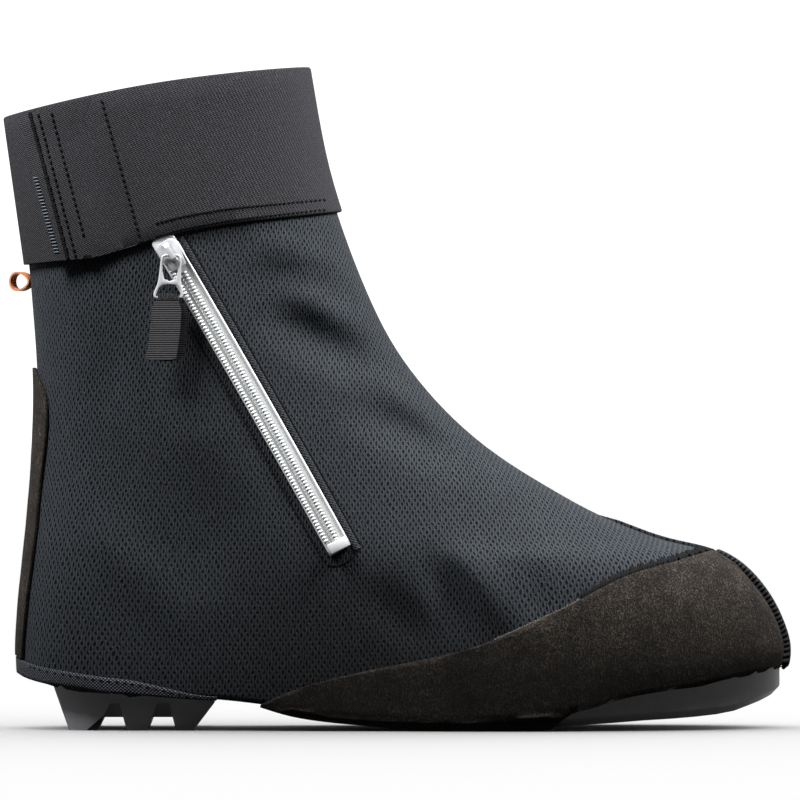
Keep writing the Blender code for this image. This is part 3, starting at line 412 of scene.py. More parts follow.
def woven(name, color, pitch, relief, contrast, angle, light):
    """Twill or plain weave on the flat pattern: fine ribs at an angle, crossed by finer ones."""
    recipe = Recipe(name)
    turned = recipe.node("ShaderNodeMapping", None,
                         {"Vector": recipe.cloth(), "Rotation": (0.0, 0.0, radians(angle))})
    across, along, _ = recipe.parts(turned)
    fuzz = recipe.noise(recipe.place(), pitch * 0.9, 3.0, 0.7)
    ribs = across.wave(pitch)
    picks = along.wave(pitch * 1.7)
    weave = ribs * 0.55 + picks * 0.45
    tone = (weave * 0.45 + fuzz * 0.9 - 0.2).step(0.15, 0.85)
    blotch = recipe.noise(recipe.place(), 0.018, 2.0)
    base = recipe.mix(blotch, lighter(color, 0.90), lighter(color, 1.10))
    shade = recipe.mix((1.0 - tone) * contrast, base, lighter(color, 0.20))
    shade = recipe.mix(tone.step(0.55, 1.0), shade, lighter(color, light))
    return recipe.finish(shade, 0.88, recipe.bump(weave + fuzz * 0.8, relief, 0.9))


def ribbed(name, color, pitch, relief, dark):
    """Webbing with ribs across its length."""
    recipe = Recipe(name)
    across, along, _ = recipe.parts(recipe.cloth())
    fuzz = recipe.noise(recipe.place(), 0.0006, 2.0)
    rib = along.wave(pitch) ** 0.7
    grain = across.wave(pitch * 0.6)
    tone = (rib * 0.8 + fuzz * 0.4).clipped()
    shade = recipe.mix(tone, lighter(color, dark), lighter(color, 1.25))
    return recipe.finish(shade, 0.85, recipe.bump(rib + grain * 0.15 + fuzz * 0.3, relief, 0.9))


def moulded_rubber():
    """Satin rubber with fine mould grain and scuffed highlights."""
    recipe = Recipe("moulded_rubber", 0.45)
    place = recipe.place()
    grain = recipe.noise(place, 0.0008, 3.0)
    wear = recipe.noise(place, 0.012, 4.0, 0.6)
    color = recipe.mix(wear.step(0.35, 0.7), (0.007, 0.007, 0.0074), (0.020, 0.020, 0.0212))
    along, _, _ = recipe.parts(place)
    heel = 1.0 - along.step(-0.26 * LENGTH, -0.20 * LENGTH)
    color = recipe.mix(heel, color, (0.090, 0.089, 0.096))
    rough = 0.34 + wear * 0.22 + grain * 0.08
    return recipe.finish(color, rough, recipe.bump(grain, 0.00025, 0.5))


def satin(name, color, roughness, grain_size=0.0008, relief=0.0001):
    """Plain smooth finish with slight grain and tone."""
    recipe = Recipe(name, 0.45)
    grain = recipe.noise(recipe.place(), grain_size, 3.0)
    tone = recipe.noise(recipe.place(), 0.006, 2.0)
    shade = recipe.mix(tone, lighter(color, 0.88), lighter(color, 1.08))
    return recipe.finish(shade, roughness + (grain - 0.5) * 0.15, recipe.bump(grain, relief, 0.5))


@once
def thread(recipe, color):
    """Twisted sewing thread."""
    x, y, z = recipe.parts(recipe.place())
    twist = (x + z + y).wave(0.00045)
    shade = recipe.mix(twist, lighter(color, 0.55), lighter(color, 1.25))
    return recipe.finish(shade, 0.70, recipe.bump(twist, 0.0001, 0.5))


# Modelling by hand

def deselect():
    bpy.ops.object.select_all(action="DESELECT")


def pick(piece):
    deselect()
    piece.select_set(True)
    bpy.context.view_layer.objects.active = piece


def started(name, add, **sizes):
    """New primitive under its own name."""
    deselect()
    add(**sizes)
    piece = bpy.context.active_object
    piece.name = name
    return piece


def edit(piece, *steps):
    """Runs edit-mode steps on all of a piece."""
    pick(piece)
    bpy.ops.object.mode_set(mode="EDIT")
    bpy.ops.mesh.select_all(action="SELECT")
    for step in steps:
        step()
    bpy.ops.object.mode_set(mode="OBJECT")


def apply_modifiers(piece):
    pick(piece)
    for modifier in list(piece.modifiers):
        bpy.ops.object.modifier_apply(modifier=modifier.name)


def smoothed(piece, levels=2):
    """Subdivides a piece and keeps its sharp edges."""
    edit(piece, lambda: bpy.ops.mesh.select_all(action="DESELECT"),
         lambda: bpy.ops.mesh.select_mode(type="EDGE"),
         lambda: bpy.ops.mesh.edges_select_sharp(sharpness=CREASE_ANGLE),
         lambda: bpy.ops.transform.edge_crease(value=CREASE),
         lambda: bpy.ops.mesh.select_mode(type="FACE"))
    smooth = piece.modifiers.new("Smooth", "SUBSURF")
    smooth.levels = levels
    smooth.render_levels = levels
    apply_modifiers(piece)


def bevelled(piece, width, angle):
    """Rounds the sharp edges of a piece."""
    rounding = piece.modifiers.new("Edges", "BEVEL")
    rounding.width = width
    rounding.segments = 2
    rounding.limit_method = "ANGLE"
    rounding.angle_limit = angle
    apply_modifiers(piece)


def copy_of(node, name):
    """Merged copy of a node of the frame, back in quads."""
    piece = bpy.data.objects.new(name, frame["nodes"][node].data.copy())
    bpy.context.scene.collection.objects.link(piece)
    piece.data.materials.clear()
    edit(piece, lambda: bpy.ops.mesh.remove_doubles(threshold=MERGE),
         lambda: bpy.ops.mesh.tris_convert_to_quads(face_threshold=pi, shape_threshold=pi))
    if piece.data.has_custom_normals:
        bpy.ops.mesh.customdata_custom_splitnormals_clear()
    return piece


def corners(piece):
    places = np.empty(len(piece.data.vertices) * 3)
    piece.data.vertices.foreach_get("co", places)
    return places.reshape(-1, 3)


def move_corners(piece, places):
    piece.data.vertices.foreach_set("co", places.ravel())
    piece.data.update()


def tree_of(piece):
    mesh = piece.data
    return BVHTree.FromPolygons([v.co for v in mesh.vertices], [p.vertices[:] for p in mesh.polygons])


def smoothstep(value, low, high):
    share = np.clip((value - low) / (high - low), 0.0, 1.0)
    return share * share * (3.0 - 2.0 * share)


def shade(piece, smooth=True):
    pick(piece)
    if smooth:
        bpy.ops.object.shade_smooth()
    else:
        bpy.ops.object.shade_smooth_by_angle(angle=SHARP)


def coat(piece, material):
    piece.data.materials.clear()
    piece.data.materials.append(material)


def dress(piece, material, node=None, body="shoe"):
    """Finish of a piece, the body it rides on and the node it stands for."""
    if material:
        coat(piece, material)
    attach(piece, body)
    if node:
        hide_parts(node)
    return piece


# Folds of the softshell, shared by all that lies on it

def fold_depth(places):
    """How far points move outwards along Y, from the table of folds."""
    x, y, z = places.T
    moved = np.zeros(len(places))
    for fold in FOLDS:
        line = [np.array(metres(place)) for place in (fold.start, fold.middle, fold.end)]
        best = np.full(len(places), 9.0)
        fade = np.zeros(len(places))
        for leg, (near, far) in enumerate(zip(line, line[1:])):
            run = far - near
            share = ((x - near[0]) * run[0] + (z - near[1]) * run[1]) / (run @ run)
            held = np.clip(share, 0.0, 1.0)
            away = np.hypot(x - near[0] - held * run[0], z - near[1] - held * run[1])
            nearer = away < best
            best = np.where(nearer, away, best)
            fade = np.where(nearer, (leg + held) / 2.0, fade)
        shape = 1.0 - smoothstep(best, 0.0, fold.width)
        ends = np.sin(np.clip(fade, 0.0, 1.0) * pi)
        side = smoothstep(y * fold.side, FOLD_CLEAR, FOLD_FULL)
        moved += fold.depth * shape * ends * side
    return moved


def toe_dent(places):
    """How far points beside the toe strip move in, so that the strip stands out as a ridge."""
    strip = corners(frame["nodes"]["toe_strip"])
    drift = np.polyfit(strip[:, 0], strip[:, 1], 1)
    aside = abs(places[:, 1] - np.polyval(drift, places[:, 0]))
    shape = 1.0 - smoothstep(aside, TOE_DENT_FLAT, TOE_DENT_WIDTH)
    near = np.ones(len(places))
    for index in np.flatnonzero((shape > 0.001) & (places[:, 0] > 0.3 * LENGTH)):
        near[index] = SHAPES["strip"].find_nearest(Vector(places[index]))[3]
    top = strip[:, 2].max()
    below = 1.0 - smoothstep(places[:, 2], top - 0.012, top + 0.001)
    return TOE_DENT * shape * (1.0 - smoothstep(near, 0.006, 0.016)) * below


def relax(piece, dented=False):
    """Settles a piece into the folds, and beside the toe strip."""
    places = corners(piece)
    moved = fold_depth(places)
    if dented:
        dent = toe_dent(places)
        places[:, 0] -= dent * 0.85
        places[:, 2] -= dent * 0.5 * smoothstep(places[:, 2], 0.10 * HEIGHT, 0.26 * HEIGHT)
    places[:, 1] += np.sign(places[:, 1]) * moved
    move_corners(piece, places)


def laid(piece, reach=0.005, deeper=0.0, highest=None):
    """Subdivides a piece that lies on the coarse shell and lays it as high above the smooth one.
    Deeper is how much further its underside goes down, highest is where its top is held."""
    mesh = piece.data
    lifts, holds = np.zeros(len(mesh.vertices)), np.zeros(len(mesh.vertices))
    for vertex in mesh.vertices:
        spot, normal, _, away = SHAPES["coarse"].find_nearest(vertex.co)
        rim = abs(normal.z) > 0.5 and not 0.2 * HEIGHT < spot.z < 0.9 * HEIGHT and spot.x < 0.3 * LENGTH
        lifts[vertex.index] = away
        holds[vertex.index] = away < reach and not rim and (vertex.co - spot).dot(normal) > 0.35 * away
    if deeper:
        lifts[lifts < lifts.max() / 2.0] -= deeper
    if highest:
        lifts = np.minimum(lifts, highest)
    for name, values in (("lift", lifts), ("hold", holds)):
        mesh.attributes.new(name, "FLOAT", "POINT").data.foreach_set("value", values)
    smoothed(piece)
    mesh = piece.data
    places = corners(piece)
    lifts, holds = np.empty(len(places)), np.empty(len(places))
    for name, values in (("lift", lifts), ("hold", holds)):
        mesh.attributes[name].data.foreach_get("value", values)
        mesh.attributes.remove(mesh.attributes[name])
    for index in np.flatnonzero(holds > 0.01):
        place = Vector(places[index])
        spot, normal, _, _ = SHAPES["smooth"].find_nearest(place)
        places[index] = place.lerp(spot + normal * lifts[index], holds[index])
    move_corners(piece, places)


def margin(values, along, extreme, steps=14):
    """Function that gives the extreme of values at places along."""
    low, high = along.min(), along.max()
    step = np.clip(((along - low) / (high - low) * steps).astype(int), 0, steps - 1)
    used = np.unique(step)
    middles = low + (used + 0.5) * (high - low) / steps
    return lambda at: np.interp(at, middles, [extreme(values[step == index]) for index in used])


# Flat patterns

def faces_outside(piece):
    """True for each face that looks out of the shoe."""
    outside = []
    for face in piece.data.polygons:
        middle = face.center
        if middle.z > SHAFT.z * HEIGHT:
            axis = Vector((SHAFT.x * LENGTH, 0.0, middle.z))
        else:
            end = FOOT.x * LENGTH
            axis = Vector((min(max(middle.x, -end), end), 0.0, FOOT.z * HEIGHT))
        outside.append(face.normal.dot(middle - axis) > 0.0)
    return outside


def flatten(piece, middle=0.10, targets=(0, 2)):
    """Unwraps a piece in two halves, each turned and scaled to lie as it does seen from the side,
    in metres. Middle is how little a seam's corners look sideways."""
    mesh = piece.data
    outside = faces_outside(piece)
    middles = {v.index for v in mesh.vertices if abs(v.normal.y) < middle}
    owners = {}
    for face in mesh.polygons:
        for key in face.edge_keys:
            owners.setdefault(key, []).append(face.index)
    for line in mesh.edges:
        key = tuple(sorted(line.vertices))
        faces = owners.get(key, owners.get(key[::-1], []))
        parts = {outside[index] for index in faces}
        line.use_seam = len(parts) > 1 or (line.vertices[0] in middles and line.vertices[1] in middles)
    edit(piece, lambda: bpy.ops.uv.unwrap(method="ANGLE_BASED", margin=0.002),
         lambda: bpy.ops.mesh.select_all(action="SELECT"))
    layer = mesh.uv_layers.active
    layer.name = "pattern"
    flat = np.empty(len(mesh.loops) * 2)
    layer.uv.foreach_get("vector", flat)
    flat = flat.reshape(-1, 2)
    places = corners(piece)
    for island in islands(mesh):
        loops = np.array([loop for face in island for loop in mesh.polygons[face].loop_indices])
        spots = places[[mesh.loops[loop].vertex_index for loop in loops]][:, list(targets)]
        weight = np.repeat([abs(mesh.polygons[face].normal.y) + 0.05 for face in island],
                           [mesh.polygons[face].loop_total for face in island])
        flat[loops] = fitted(flat[loops], spots, weight)
    layer.uv.foreach_set("vector", flat.ravel())
    return outside


def islands(mesh):
    """Groups of faces that seams separate."""
    beside = {}
    seams = {tuple(sorted(line.vertices)) for line in mesh.edges if line.use_seam}
    for face in mesh.polygons:
        for key in face.edge_keys:
            key = tuple(sorted(key))
            if key not in seams:
                beside.setdefault(key, []).append(face.index)
    links = {}
    for pair in beside.values():
        for face in pair:
            links.setdefault(face, set()).update(pair)
    waiting, found = set(range(len(mesh.polygons))), []
    while waiting:
        group, edge = set(), [waiting.pop()]
        while edge:
            face = edge.pop()
            group.add(face)
            edge += [other for other in links.get(face, ()) if other in waiting]
            waiting -= links.get(face, set())
        found.append(sorted(group))
    return found


def fitted(flat, spots, weight):
    """Turns, mirrors and scales flat points to lie as close to their spots as they can."""
    total = weight.sum()
    a = flat[:, 0] + 1j * flat[:, 1]
    b = spots[:, 0] + 1j * spots[:, 1]
    b_middle = (b * weight).sum() / total
    best = None
    for points in (a, a.conj()):
        middle = (points * weight).sum() / total
        centred = points - middle
        power = (weight * abs(centred) ** 2).sum() or 1.0
        turn = (weight * (b - b_middle) * centred.conj()).sum() / power
        laid = centred * turn + b_middle
        miss = (weight * abs(laid - b) ** 2).sum()
        if best is None or miss < best[0]:
            best = (miss, laid)
    return np.column_stack((best[1].real, best[1].imag))


# Repeated small pieces

def bead(name, length, width, height):
    """Rounded bead that lies along x, of a few dozen faces."""
    piece = started(name, bpy.ops.mesh.primitive_uv_sphere_add, segments=8, ring_count=5, radius=0.5)
    edit(piece, lambda: bpy.ops.transform.rotate(value=pi / 2, orient_axis="Y",
                                                 center_override=(0.0, 0.0, 0.0)),
         lambda: bpy.ops.transform.resize(value=(length, width, height)))
    return piece


def stamped(name, template, frames):
    """One piece from a copy of the template at each frame."""
    copies = []
    for index, place in enumerate(frames):
        copy = bpy.data.objects.new(f"{name}_{index}", template.data.copy())
        bpy.context.scene.collection.objects.link(copy)
        copy.data.transform(place)
        copies.append(copy)
    bpy.data.objects.remove(template, do_unlink=True)
    deselect()
    for copy in copies:
        copy.select_set(True)
    bpy.context.view_layer.objects.active = copies[0]
    bpy.ops.object.join()
    piece = bpy.context.active_object
    piece.name = name
    pick(piece)
    bpy.ops.object.shade_smooth()
    return piece


def frame_at(spot, run, out):
    """Frame with x along a run and z out of the surface."""
    out = out.normalized()
    along = (run - out * run.dot(out)).normalized()
    return Matrix.Translation(spot) @ Matrix((along, out.cross(along), out)).transposed().to_4x4()


def side_spot(tree, x, z, side=OUTER):
    """Point and normal of a surface seen from one side."""
    spot, normal, _, _ = tree.ray_cast(Vector((x, side * 0.2, z)), Vector((0.0, -side, 0.0)))
    return spot, normal


def front_spot(trees, x, z, side=OUTER):
    """Point and normal of the surface that lies in front, seen from one side."""
    found = [spot for spot in (side_spot(tree, x, z, side) for tree in trees) if spot[0] is not None]
    return max(found, key=lambda spot: spot[0].y * side, default=(None, None))


def line_spots(trees, places, pitch, side=OUTER):
    """Spots at even pitch along a line drawn on one side of the shoe."""
    spots = []
    for near, far in zip(places, places[1:]):
        run = (Vector(far) - Vector(near)).length
        count = max(int(round(run / pitch)), 1)
        for step in range(count):
            share = (step + 0.5) / count
            spots.append(front_spot(trees, near[0] + (far[0] - near[0]) * share,
                                    near[1] + (far[1] - near[1]) * share, side))
    return [spot for spot in spots if spot[0] is not None]


def stitch_row(name, spots, material, length, width, lift, turn=0.0, ragged=0.0):
    """Row of stitches through spots; turn slants each stitch on the surface, and ragged is how
    unevenly they lie."""
    frames = []
    for index, (spot, out) in enumerate(spots):
        before, after = spots[max(index - 1, 0)][0], spots[min(index + 1, len(spots) - 1)][0]
        if (after - before).length > 6.0 * length:
            before = spot - Vector((0.0, 0.0, length))
        place = frame_at(spot + out * lift, after - before, out)
        uneven = ragged * np.sin(index * 2.4) * np.cos(index * 0.7)
        size = Matrix.Diagonal((1.0 + uneven, 1.0 + uneven, 1.0, 1.0))
        frames.append(place @ Matrix.Rotation(turn + uneven, 4, "Z") @ size)
    piece = stamped(name, bead(name, length, width, width), frames)
    return dress(piece, material)


def shown_height(over, under, x, low, high, side=OUTER):
    """Height at which one piece stops covering another, seen from one side."""
    for _ in range(18):
        middle = (low + high) / 2.0
        above, _ = side_spot(over, x, middle, side)
        below, _ = side_spot(under, x, middle, side)
        covered = above is not None and (below is None or (below.y - above.y) * side < 0.0)
        low, high = (middle, high) if covered else (low, middle)
    return (low + high) / 2.0


def shown_line(over, under, stations, low, high, side=OUTER):
    """Points at which one piece stops covering another, low and high being shares of HEIGHT."""
    return [(x, shown_height(over, under, x, low * HEIGHT, high * HEIGHT, side)) for x in stations]


# Zip's line

def zip_place(share, offset=0.0):
    """Place x, z on the zip's line, offset towards the toe across it."""
    top, middle, foot = (Vector(metres(place)) for place in (ZIP_TOP, ZIP_MIDDLE, ZIP_FOOT))
    spot = top.lerp(middle, share * 2.0).lerp(middle.lerp(foot, share * 2.0 - 1.0), share)
    run = (foot - top).normalized()
    return spot.x - run.y * offset, spot.y + run.x * offset


ZIP_RUN = (Vector(zip_place(1.0)) - Vector(zip_place(0.0))).length

SHAPES = {}   # search trees of the surfaces that later pieces lie on


class OVERSHOE_OT_upper(bpy.types.Operator):
    """Softshell upper with its folds and lining"""
    bl_idname = "overshoe.upper"
    bl_label = "Upper"

    def execute(self, context):
        piece = copy_of("upper", "upper_shell")
        SHAPES["coarse"] = tree_of(piece)
        outside = flatten(piece)
        piece.data.materials.append(softshell("dimpled_softshell"))
        piece.data.materials.append(lining())
        for face, is_outside in zip(piece.data.polygons, outside):
            face.material_index = 0 if is_outside else 1
        smoothed(piece)
        SHAPES["smooth"] = tree_of(piece)
        SHAPES["strip"] = tree_of(frame["nodes"]["toe_strip"])
        relax(piece, True)
        SHAPES["shell"] = tree_of(piece)
        shade(piece)
        dress(piece, None, "upper")
        return {"FINISHED"}


def laid_copy(node, name, dented=False, highest=None):
    """Smooth copy of a node that lies on the shell, settled into its folds."""
    piece = copy_of(node, name)
    laid(piece, highest=highest)
    relax(piece, dented)
    shade(piece)
    return piece


class OVERSHOE_OT_suede(bpy.types.Operator):
    """Toe guard and heel strip of suede"""
    bl_idname = "overshoe.suede"
    bl_label = "Suede"

    def execute(self, context):
        guard = laid_copy("toe_guard", "suede_toe_guard", True, GUARD_TOP)
        SHAPES["guard"] = tree_of(guard)
        dress(guard, suede("napped_suede"), "toe_guard")
        strip = laid_copy("heel_strip", "suede_heel_strip")
        dress(strip, suede("napped_suede"), "heel_strip")
        return {"FINISHED"}


class OVERSHOE_OT_webbing(bpy.types.Operator):
    """Ribbed toe strip, instep seam and hem binding"""
    bl_idname = "overshoe.webbing"
    bl_label = "Webbing and binding"

    def execute(self, context):
        strip = copy_of("toe_strip", "ribbed_toe_strip")
        flatten(strip, 0.0, (1, 2))
        laid(strip, deeper=TOE_DENT)
        shade(strip)
        ribs = ribbed("ribbed_webbing", (0.0085, 0.0085, 0.0092), 0.0016, 0.0005, 0.4)
        dress(strip, ribs, "toe_strip")
        seam = copy_of("instep_seam", "folded_instep_seam")
        flatten(seam, 0.0)
        laid(seam, deeper=SEAM_SUNK)
        self.sink(seam)
        relax(seam, True)
        shade(seam)
        dress(seam, softshell("dimpled_softshell"), "instep_seam")
        binding = copy_of("hem_binding", "twill_hem_binding")
        flatten(binding, 0.0)
        laid(binding)
        relax(binding)
        self.taper(binding)
        shade(binding)
        SHAPES["binding"] = tree_of(binding)
        color = settings("overshoe_fabric").binding_color
        dress(binding, braided("braided_binding", color, 0.0016, 0.0006), "hem_binding")
        return {"FINISHED"}

    def sink(self, seam, run=0.014):
        """Lets the seam's rear end rise softly out of the shell."""
        places = corners(seam)
        rear = places[:, 0].min()
        under = 1.0 - smoothstep(places[:, 0], rear, rear + run)
        for index in np.flatnonzero(under > 0.0):
            spot, normal, _, _ = SHAPES["smooth"].find_nearest(Vector(places[index]))
            high = max((Vector(places[index]) - spot).dot(normal) + 0.0004, 0.0)
            places[index] = Vector(places[index]) - normal * (high * under[index])
        move_corners(seam, places)

    def taper(self, binding, run=0.040, left=0.25):
        """Narrows the binding towards its ends under the arch."""
        places = corners(binding)
        tip = places[:, 0].max()
        for side in (OUTER, INNER):
            near = (places[:, 1] * side > 0.0) & (places[:, 0] > tip - 2.0 * run)
            foot = margin(places[near, 2], places[near, 0], np.min)(places[near, 0])
            share = 1.0 - (1.0 - left) * smoothstep(places[near, 0], tip - run, tip - 0.002)
            places[near, 2] = foot + (places[near, 2] - foot) * share
        move_corners(binding, places)


class OVERSHOE_OT_cuff(bpy.types.Operator):
    """Elastic cuff with its overlapping end"""
    bl_idname = "overshoe.cuff"
    bl_label = "Cuff"

    def execute(self, context):
        color = settings("overshoe_fabric").elastic_color
        elastic = woven("woven_elastic", color, 0.00066, 0.00040, 0.55, 62.0, 1.9)
        band = copy_of("cuff", "elastic_band")
        flatten(band)
        smoothed(band)
        shade(band, False)
        SHAPES["cuff"] = tree_of(band)
        dress(band, elastic, "cuff")
        flap = copy_of("cuff_flap", "elastic_band_end")
        flatten(flap, 0.0)
        smoothed(flap)
        self.overlap(flap)
        shade(flap, False)
        SHAPES["flap"] = tree_of(flap)
        dress(flap, elastic, "cuff_flap")
        return {"FINISHED"}

    def overlap(self, flap, lift=0.0016, rim=0.004):
        """Lifts the band's free end and lets its other side run out flush with the band below."""
        places = corners(flap)
        x, _, z = places.T
        left, right = (margin(x, z, extreme)(z) for extreme in (np.min, np.max))
        foot, top = (margin(z, x, extreme)(x) for extreme in (np.min, np.max))
        share = (x - left) / (right - left)
        level = np.clip(z, foot + rim, top - rim)
        for index, place in enumerate(places):
            spot, normal, _, _ = SHAPES["cuff"].find_nearest(Vector((place[0], place[1], level[index])))
            out = Vector((normal.x, normal.y, 0.0)).normalized()
            high = (Vector((place[0], place[1], level[index])) - spot).dot(out)
            flush = smoothstep(share[index], 0.35, 0.97)
            free = 1.0 - smoothstep(share[index], 0.0, 0.45)
            places[index] = Vector(place) + out * (free * lift - flush * (high + 0.0003))
        move_corners(flap, places)


class OVERSHOE_OT_cuff_stitches(bpy.types.Operator):
    """Stitch rows, a painted shadow beside the overlapping end's free edge, bar tack and loose thread
    of the cuff
    """
    bl_idname = "overshoe.cuff_stitches"
    bl_label = "Cuff stitches"

    def execute(self, context):
        sewing = settings("overshoe_stitches")
        black = thread(*BLACK_THREAD)
        flap, cuff, shell = SHAPES["flap"], SHAPES["cuff"], SHAPES["shell"]
        spots = []
        for row in FLAP_ROWS:
            spots += line_spots((flap, cuff), [metres(place) for place in row], sewing.stitch * 1.5)
        stitch_row("flap_stitches", spots, black, sewing.stitch * 1.05,
                   sewing.thread * 3.0, 0.0001)
        # Painted shadow: a ragged row of broad black beads beside the free edge stands in for the
        # shadow that the lifted end casts on the band below
        ends = [((place.x - 0.0105) * LENGTH, place.z * HEIGHT) for place in FLAP_ROWS[0]]
        edge = line_spots((flap, cuff), ends, sewing.stitch * 0.7)
        stitch_row("flap_edge_painted_shadow", edge, black, sewing.stitch * 1.4,
                   sewing.thread * 4.6, -0.0001, 0.0, 0.25)
        rows = []
        for side, start in ((OUTER, -0.315), (INNER, -0.455)):
            stations = np.linspace(start, -0.098, 40) * LENGTH
            back = (stations[-1] - stations) / (stations[-1] - stations[0])
            hem = shown_line(shell, cuff, stations, *CUFF_FOOT, side)
            for rise, climb in ((0.0013, 0.0), (0.0052, 0.0011)):
                line = [(x, foot + rise + climb * share) for (x, foot), share in zip(hem, back)]
                rows += line_spots((cuff,), line, sewing.stitch * 1.3, side)
        stitch_row("hem_stitches", rows, black, sewing.stitch, sewing.thread * 2.4, 0.0001)
        ladder = line_spots((flap, cuff), [metres(place) for place in LADDER], 0.0013)
        grey = thread("grey_thread", (0.050, 0.058, 0.070))
        stitch_row("hook_tape_ladder", ladder, grey, 0.0028, sewing.thread * 1.4, 0.0002,
                   radians(78.0))
        knot = []
        x, z = metres(KNOT)
        for index in range(7):
            spot, out = side_spot(flap, x + 0.0004 * (index - 3), z + 0.0006)
            if spot is not None:
                knot.append((spot + Vector((0.0, 0.0, 0.0003 * (index % 3))), out))
        stitch_row("thread_knot", knot, black, 0.0019, 0.0007, 0.0004, radians(65.0))
        return {"FINISHED"}


class OVERSHOE_OT_seams(bpy.types.Operator):
    """Stitches along the suede and the binding"""
    bl_idname = "overshoe.seams"
    bl_label = "Seams"

    def execute(self, context):
        black = thread(*BLACK_THREAD)
        pale = thread("raw_suede_edge", (0.046, 0.038, 0.032))
        guard, shell, binding = SHAPES["guard"], SHAPES["shell"], SHAPES["binding"]
        for side, label in ((OUTER, "outer"), (INNER, "inner")):
            stations = np.linspace(0.115, 0.448, 34) * LENGTH
            line = shown_line(guard, shell, stations, 0.06, 0.40, side)
            front = [(x, z + 0.0004) for x, z in line if x > 0.225 * LENGTH]
            rear = [(x, z + 0.0001) for x, z in line if x < 0.240 * LENGTH]
            stitch_row(f"overlock_{label}", line_spots((guard, shell), front, 0.0011, side), black,
                       0.0042, 0.0018, 0.0007, radians(64.0), 0.40)
            stitch_row(f"raw_edge_{label}", line_spots((shell,), rear, 0.0012, side), pale,
                       0.0015, 0.0006, 0.0004, radians(20.0), 0.30)
            stations = np.linspace(-0.478, -0.250, 24) * LENGTH
            line = shown_line(binding, shell, stations, 0.04, 0.14, side)
            spots = line_spots((binding,), [(x, z - 0.0012) for x, z in line], 0.0021, side)
            stitch_row(f"binding_stitches_{label}", spots, black, 0.0015, 0.0006, 0.0)
        return {"FINISHED"}


class OVERSHOE_OT_zip(bpy.types.Operator):
    """Zip tape with its two coils, its welt and its stop"""
    bl_idname = "overshoe.zip"
    bl_label = "Zip"

    def execute(self, context):
        zipper = settings("overshoe_zip")
        silver = satin("silver_tape", zipper.silver, 0.34, 0.0006, 0.0002)
        tape = laid_copy("zip_tape", "satin_zip_tape")
        self.tuck(tape)
        SHAPES["tape"] = tree_of(tape)
        dress(tape, silver, "zip_tape")
        coil = satin("zip_coil", lighter(zipper.silver, 1.75), 0.28, 0.0005, 0.0001)
        frames = []
        low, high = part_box("zip_teeth")
        turns = int(ZIP_RUN / zipper.turn_pitch)
        for offset in COIL_OFFSETS:
            for turn in range(turns):
                x, z = zip_place((turn + 0.5) / turns, offset)
                if not low.z + 0.0006 < z < high.z - 0.0006:
                    continue
                spot, out = side_spot(SHAPES["tape"], x, z)
                ahead = Vector(zip_place((turn + 1.5) / turns, offset)) - Vector((x, z))
                run = Vector((ahead.x, 0.0, ahead.y))
                frames.append(frame_at(spot + out * 0.00035, run.cross(out), out))
        coils = stamped("zip_coils", bead("zip_coil_turn", *COIL_BEAD), frames)
        dress(coils, coil, "zip_teeth")
        self.edges()
        stop = copy_of("zip_stop", "zip_bottom_stop")
        shade(stop, False)
        dress(stop, satin("stop_plastic", (0.26, 0.27, 0.268), 0.35), "zip_stop")
        return {"FINISHED"}

    def tuck(self, tape, run=0.006, further=0.005):
        """Runs the tape's top end on under the cuff."""
        places = corners(tape)
        top = places[:, 2].max()
        share = smoothstep(places[:, 2], top - run, top)
        ahead = Vector(zip_place(0.0)) - Vector(zip_place(0.05))
        ahead.normalize()
        places[:, 0] += share * ahead.x * further
        places[:, 2] += share * ahead.y * further
        move_corners(tape, places)

    def edges(self):
        """Cords along the tape, the folded welt on the toe side and the seam round the zip's foot."""
        cord = self.strip("zip_centre_cord", -0.0012, 0.0009, 0.0005, 0.035, 0.965, "tape")
        dress(cord, satin("grey_cord", (0.12, 0.125, 0.125), 0.5))
        bright = self.strip("zip_bright_edge", 0.0042, 0.0009, 0.0007, 0.02, 0.985, "tape")
        dress(bright, satin("white_edge", (0.30, 0.305, 0.31), 0.3))
        welt = self.strip("zip_welt", 0.0062, 0.0032, 0.0010, 0.015, 1.02, "shell")
        color = (0.0155, 0.0165, 0.0190)
        dress(welt, woven("welt_tape", color, 0.0009, 0.0003, 0.7, 45.0, 1.6))
        seam = self.strip("zip_welt_seam", SEAM_OFFSET, 0.0007, 0.0006, 0.015, 1.01, "shell")
        black = thread(*BLACK_THREAD)
        dress(seam, black)
        rear = [zip_place(share, -SEAM_OFFSET) for share in np.linspace(0.24, 1.0, 12)]
        foot = [zip_place(1.0 + 0.036 * np.sin(turn), -SEAM_OFFSET * np.cos(turn))
                for turn in np.linspace(0.0, pi, 10)]
        stitch_row("zip_rear_seam", line_spots((SHAPES["shell"],), rear + foot[1:], 0.0015), black,
                   0.0013, 0.0006, 0.0001, 0.0, 0.3)

    def strip(self, name, offset, width, height, start, end, ground):
        """Rounded strip along the zip's line, from a plane that is laid on a surface."""
        piece = started(name, bpy.ops.mesh.primitive_grid_add, x_subdivisions=120, y_subdivisions=6,
                        size=1.0)
        places = corners(piece)
        for index, (along, across, _) in enumerate(places.copy()):
            share = start + (end - start) * (along + 0.5)
            x, z = zip_place(share, offset + across * width)
            z = min(z, self.roof(x))
            spot, out = side_spot(SHAPES[ground], x, z)
            if spot is None:
                spot, out = side_spot(SHAPES["shell"], x, z)
            crown = (1.0 - (2.0 * across) ** 2) ** 0.5 if abs(across) < 0.5 else 0.0
            places[index] = spot + out * (height * crown - 0.0002)
        move_corners(piece, places)
        layer = piece.data.uv_layers.active
        for loop in piece.data.loops:
            u, v = layer.uv[loop.index].vector
            layer.uv[loop.index].vector = (v * width, u * ZIP_RUN * (end - start))
        shade(piece)
        return piece

    def roof(self, x):
        """Height just below the cuff's lower edge."""
        return shown_line(SHAPES["shell"], SHAPES["cuff"], [x], *CUFF_FOOT)[0][1] - 0.0006


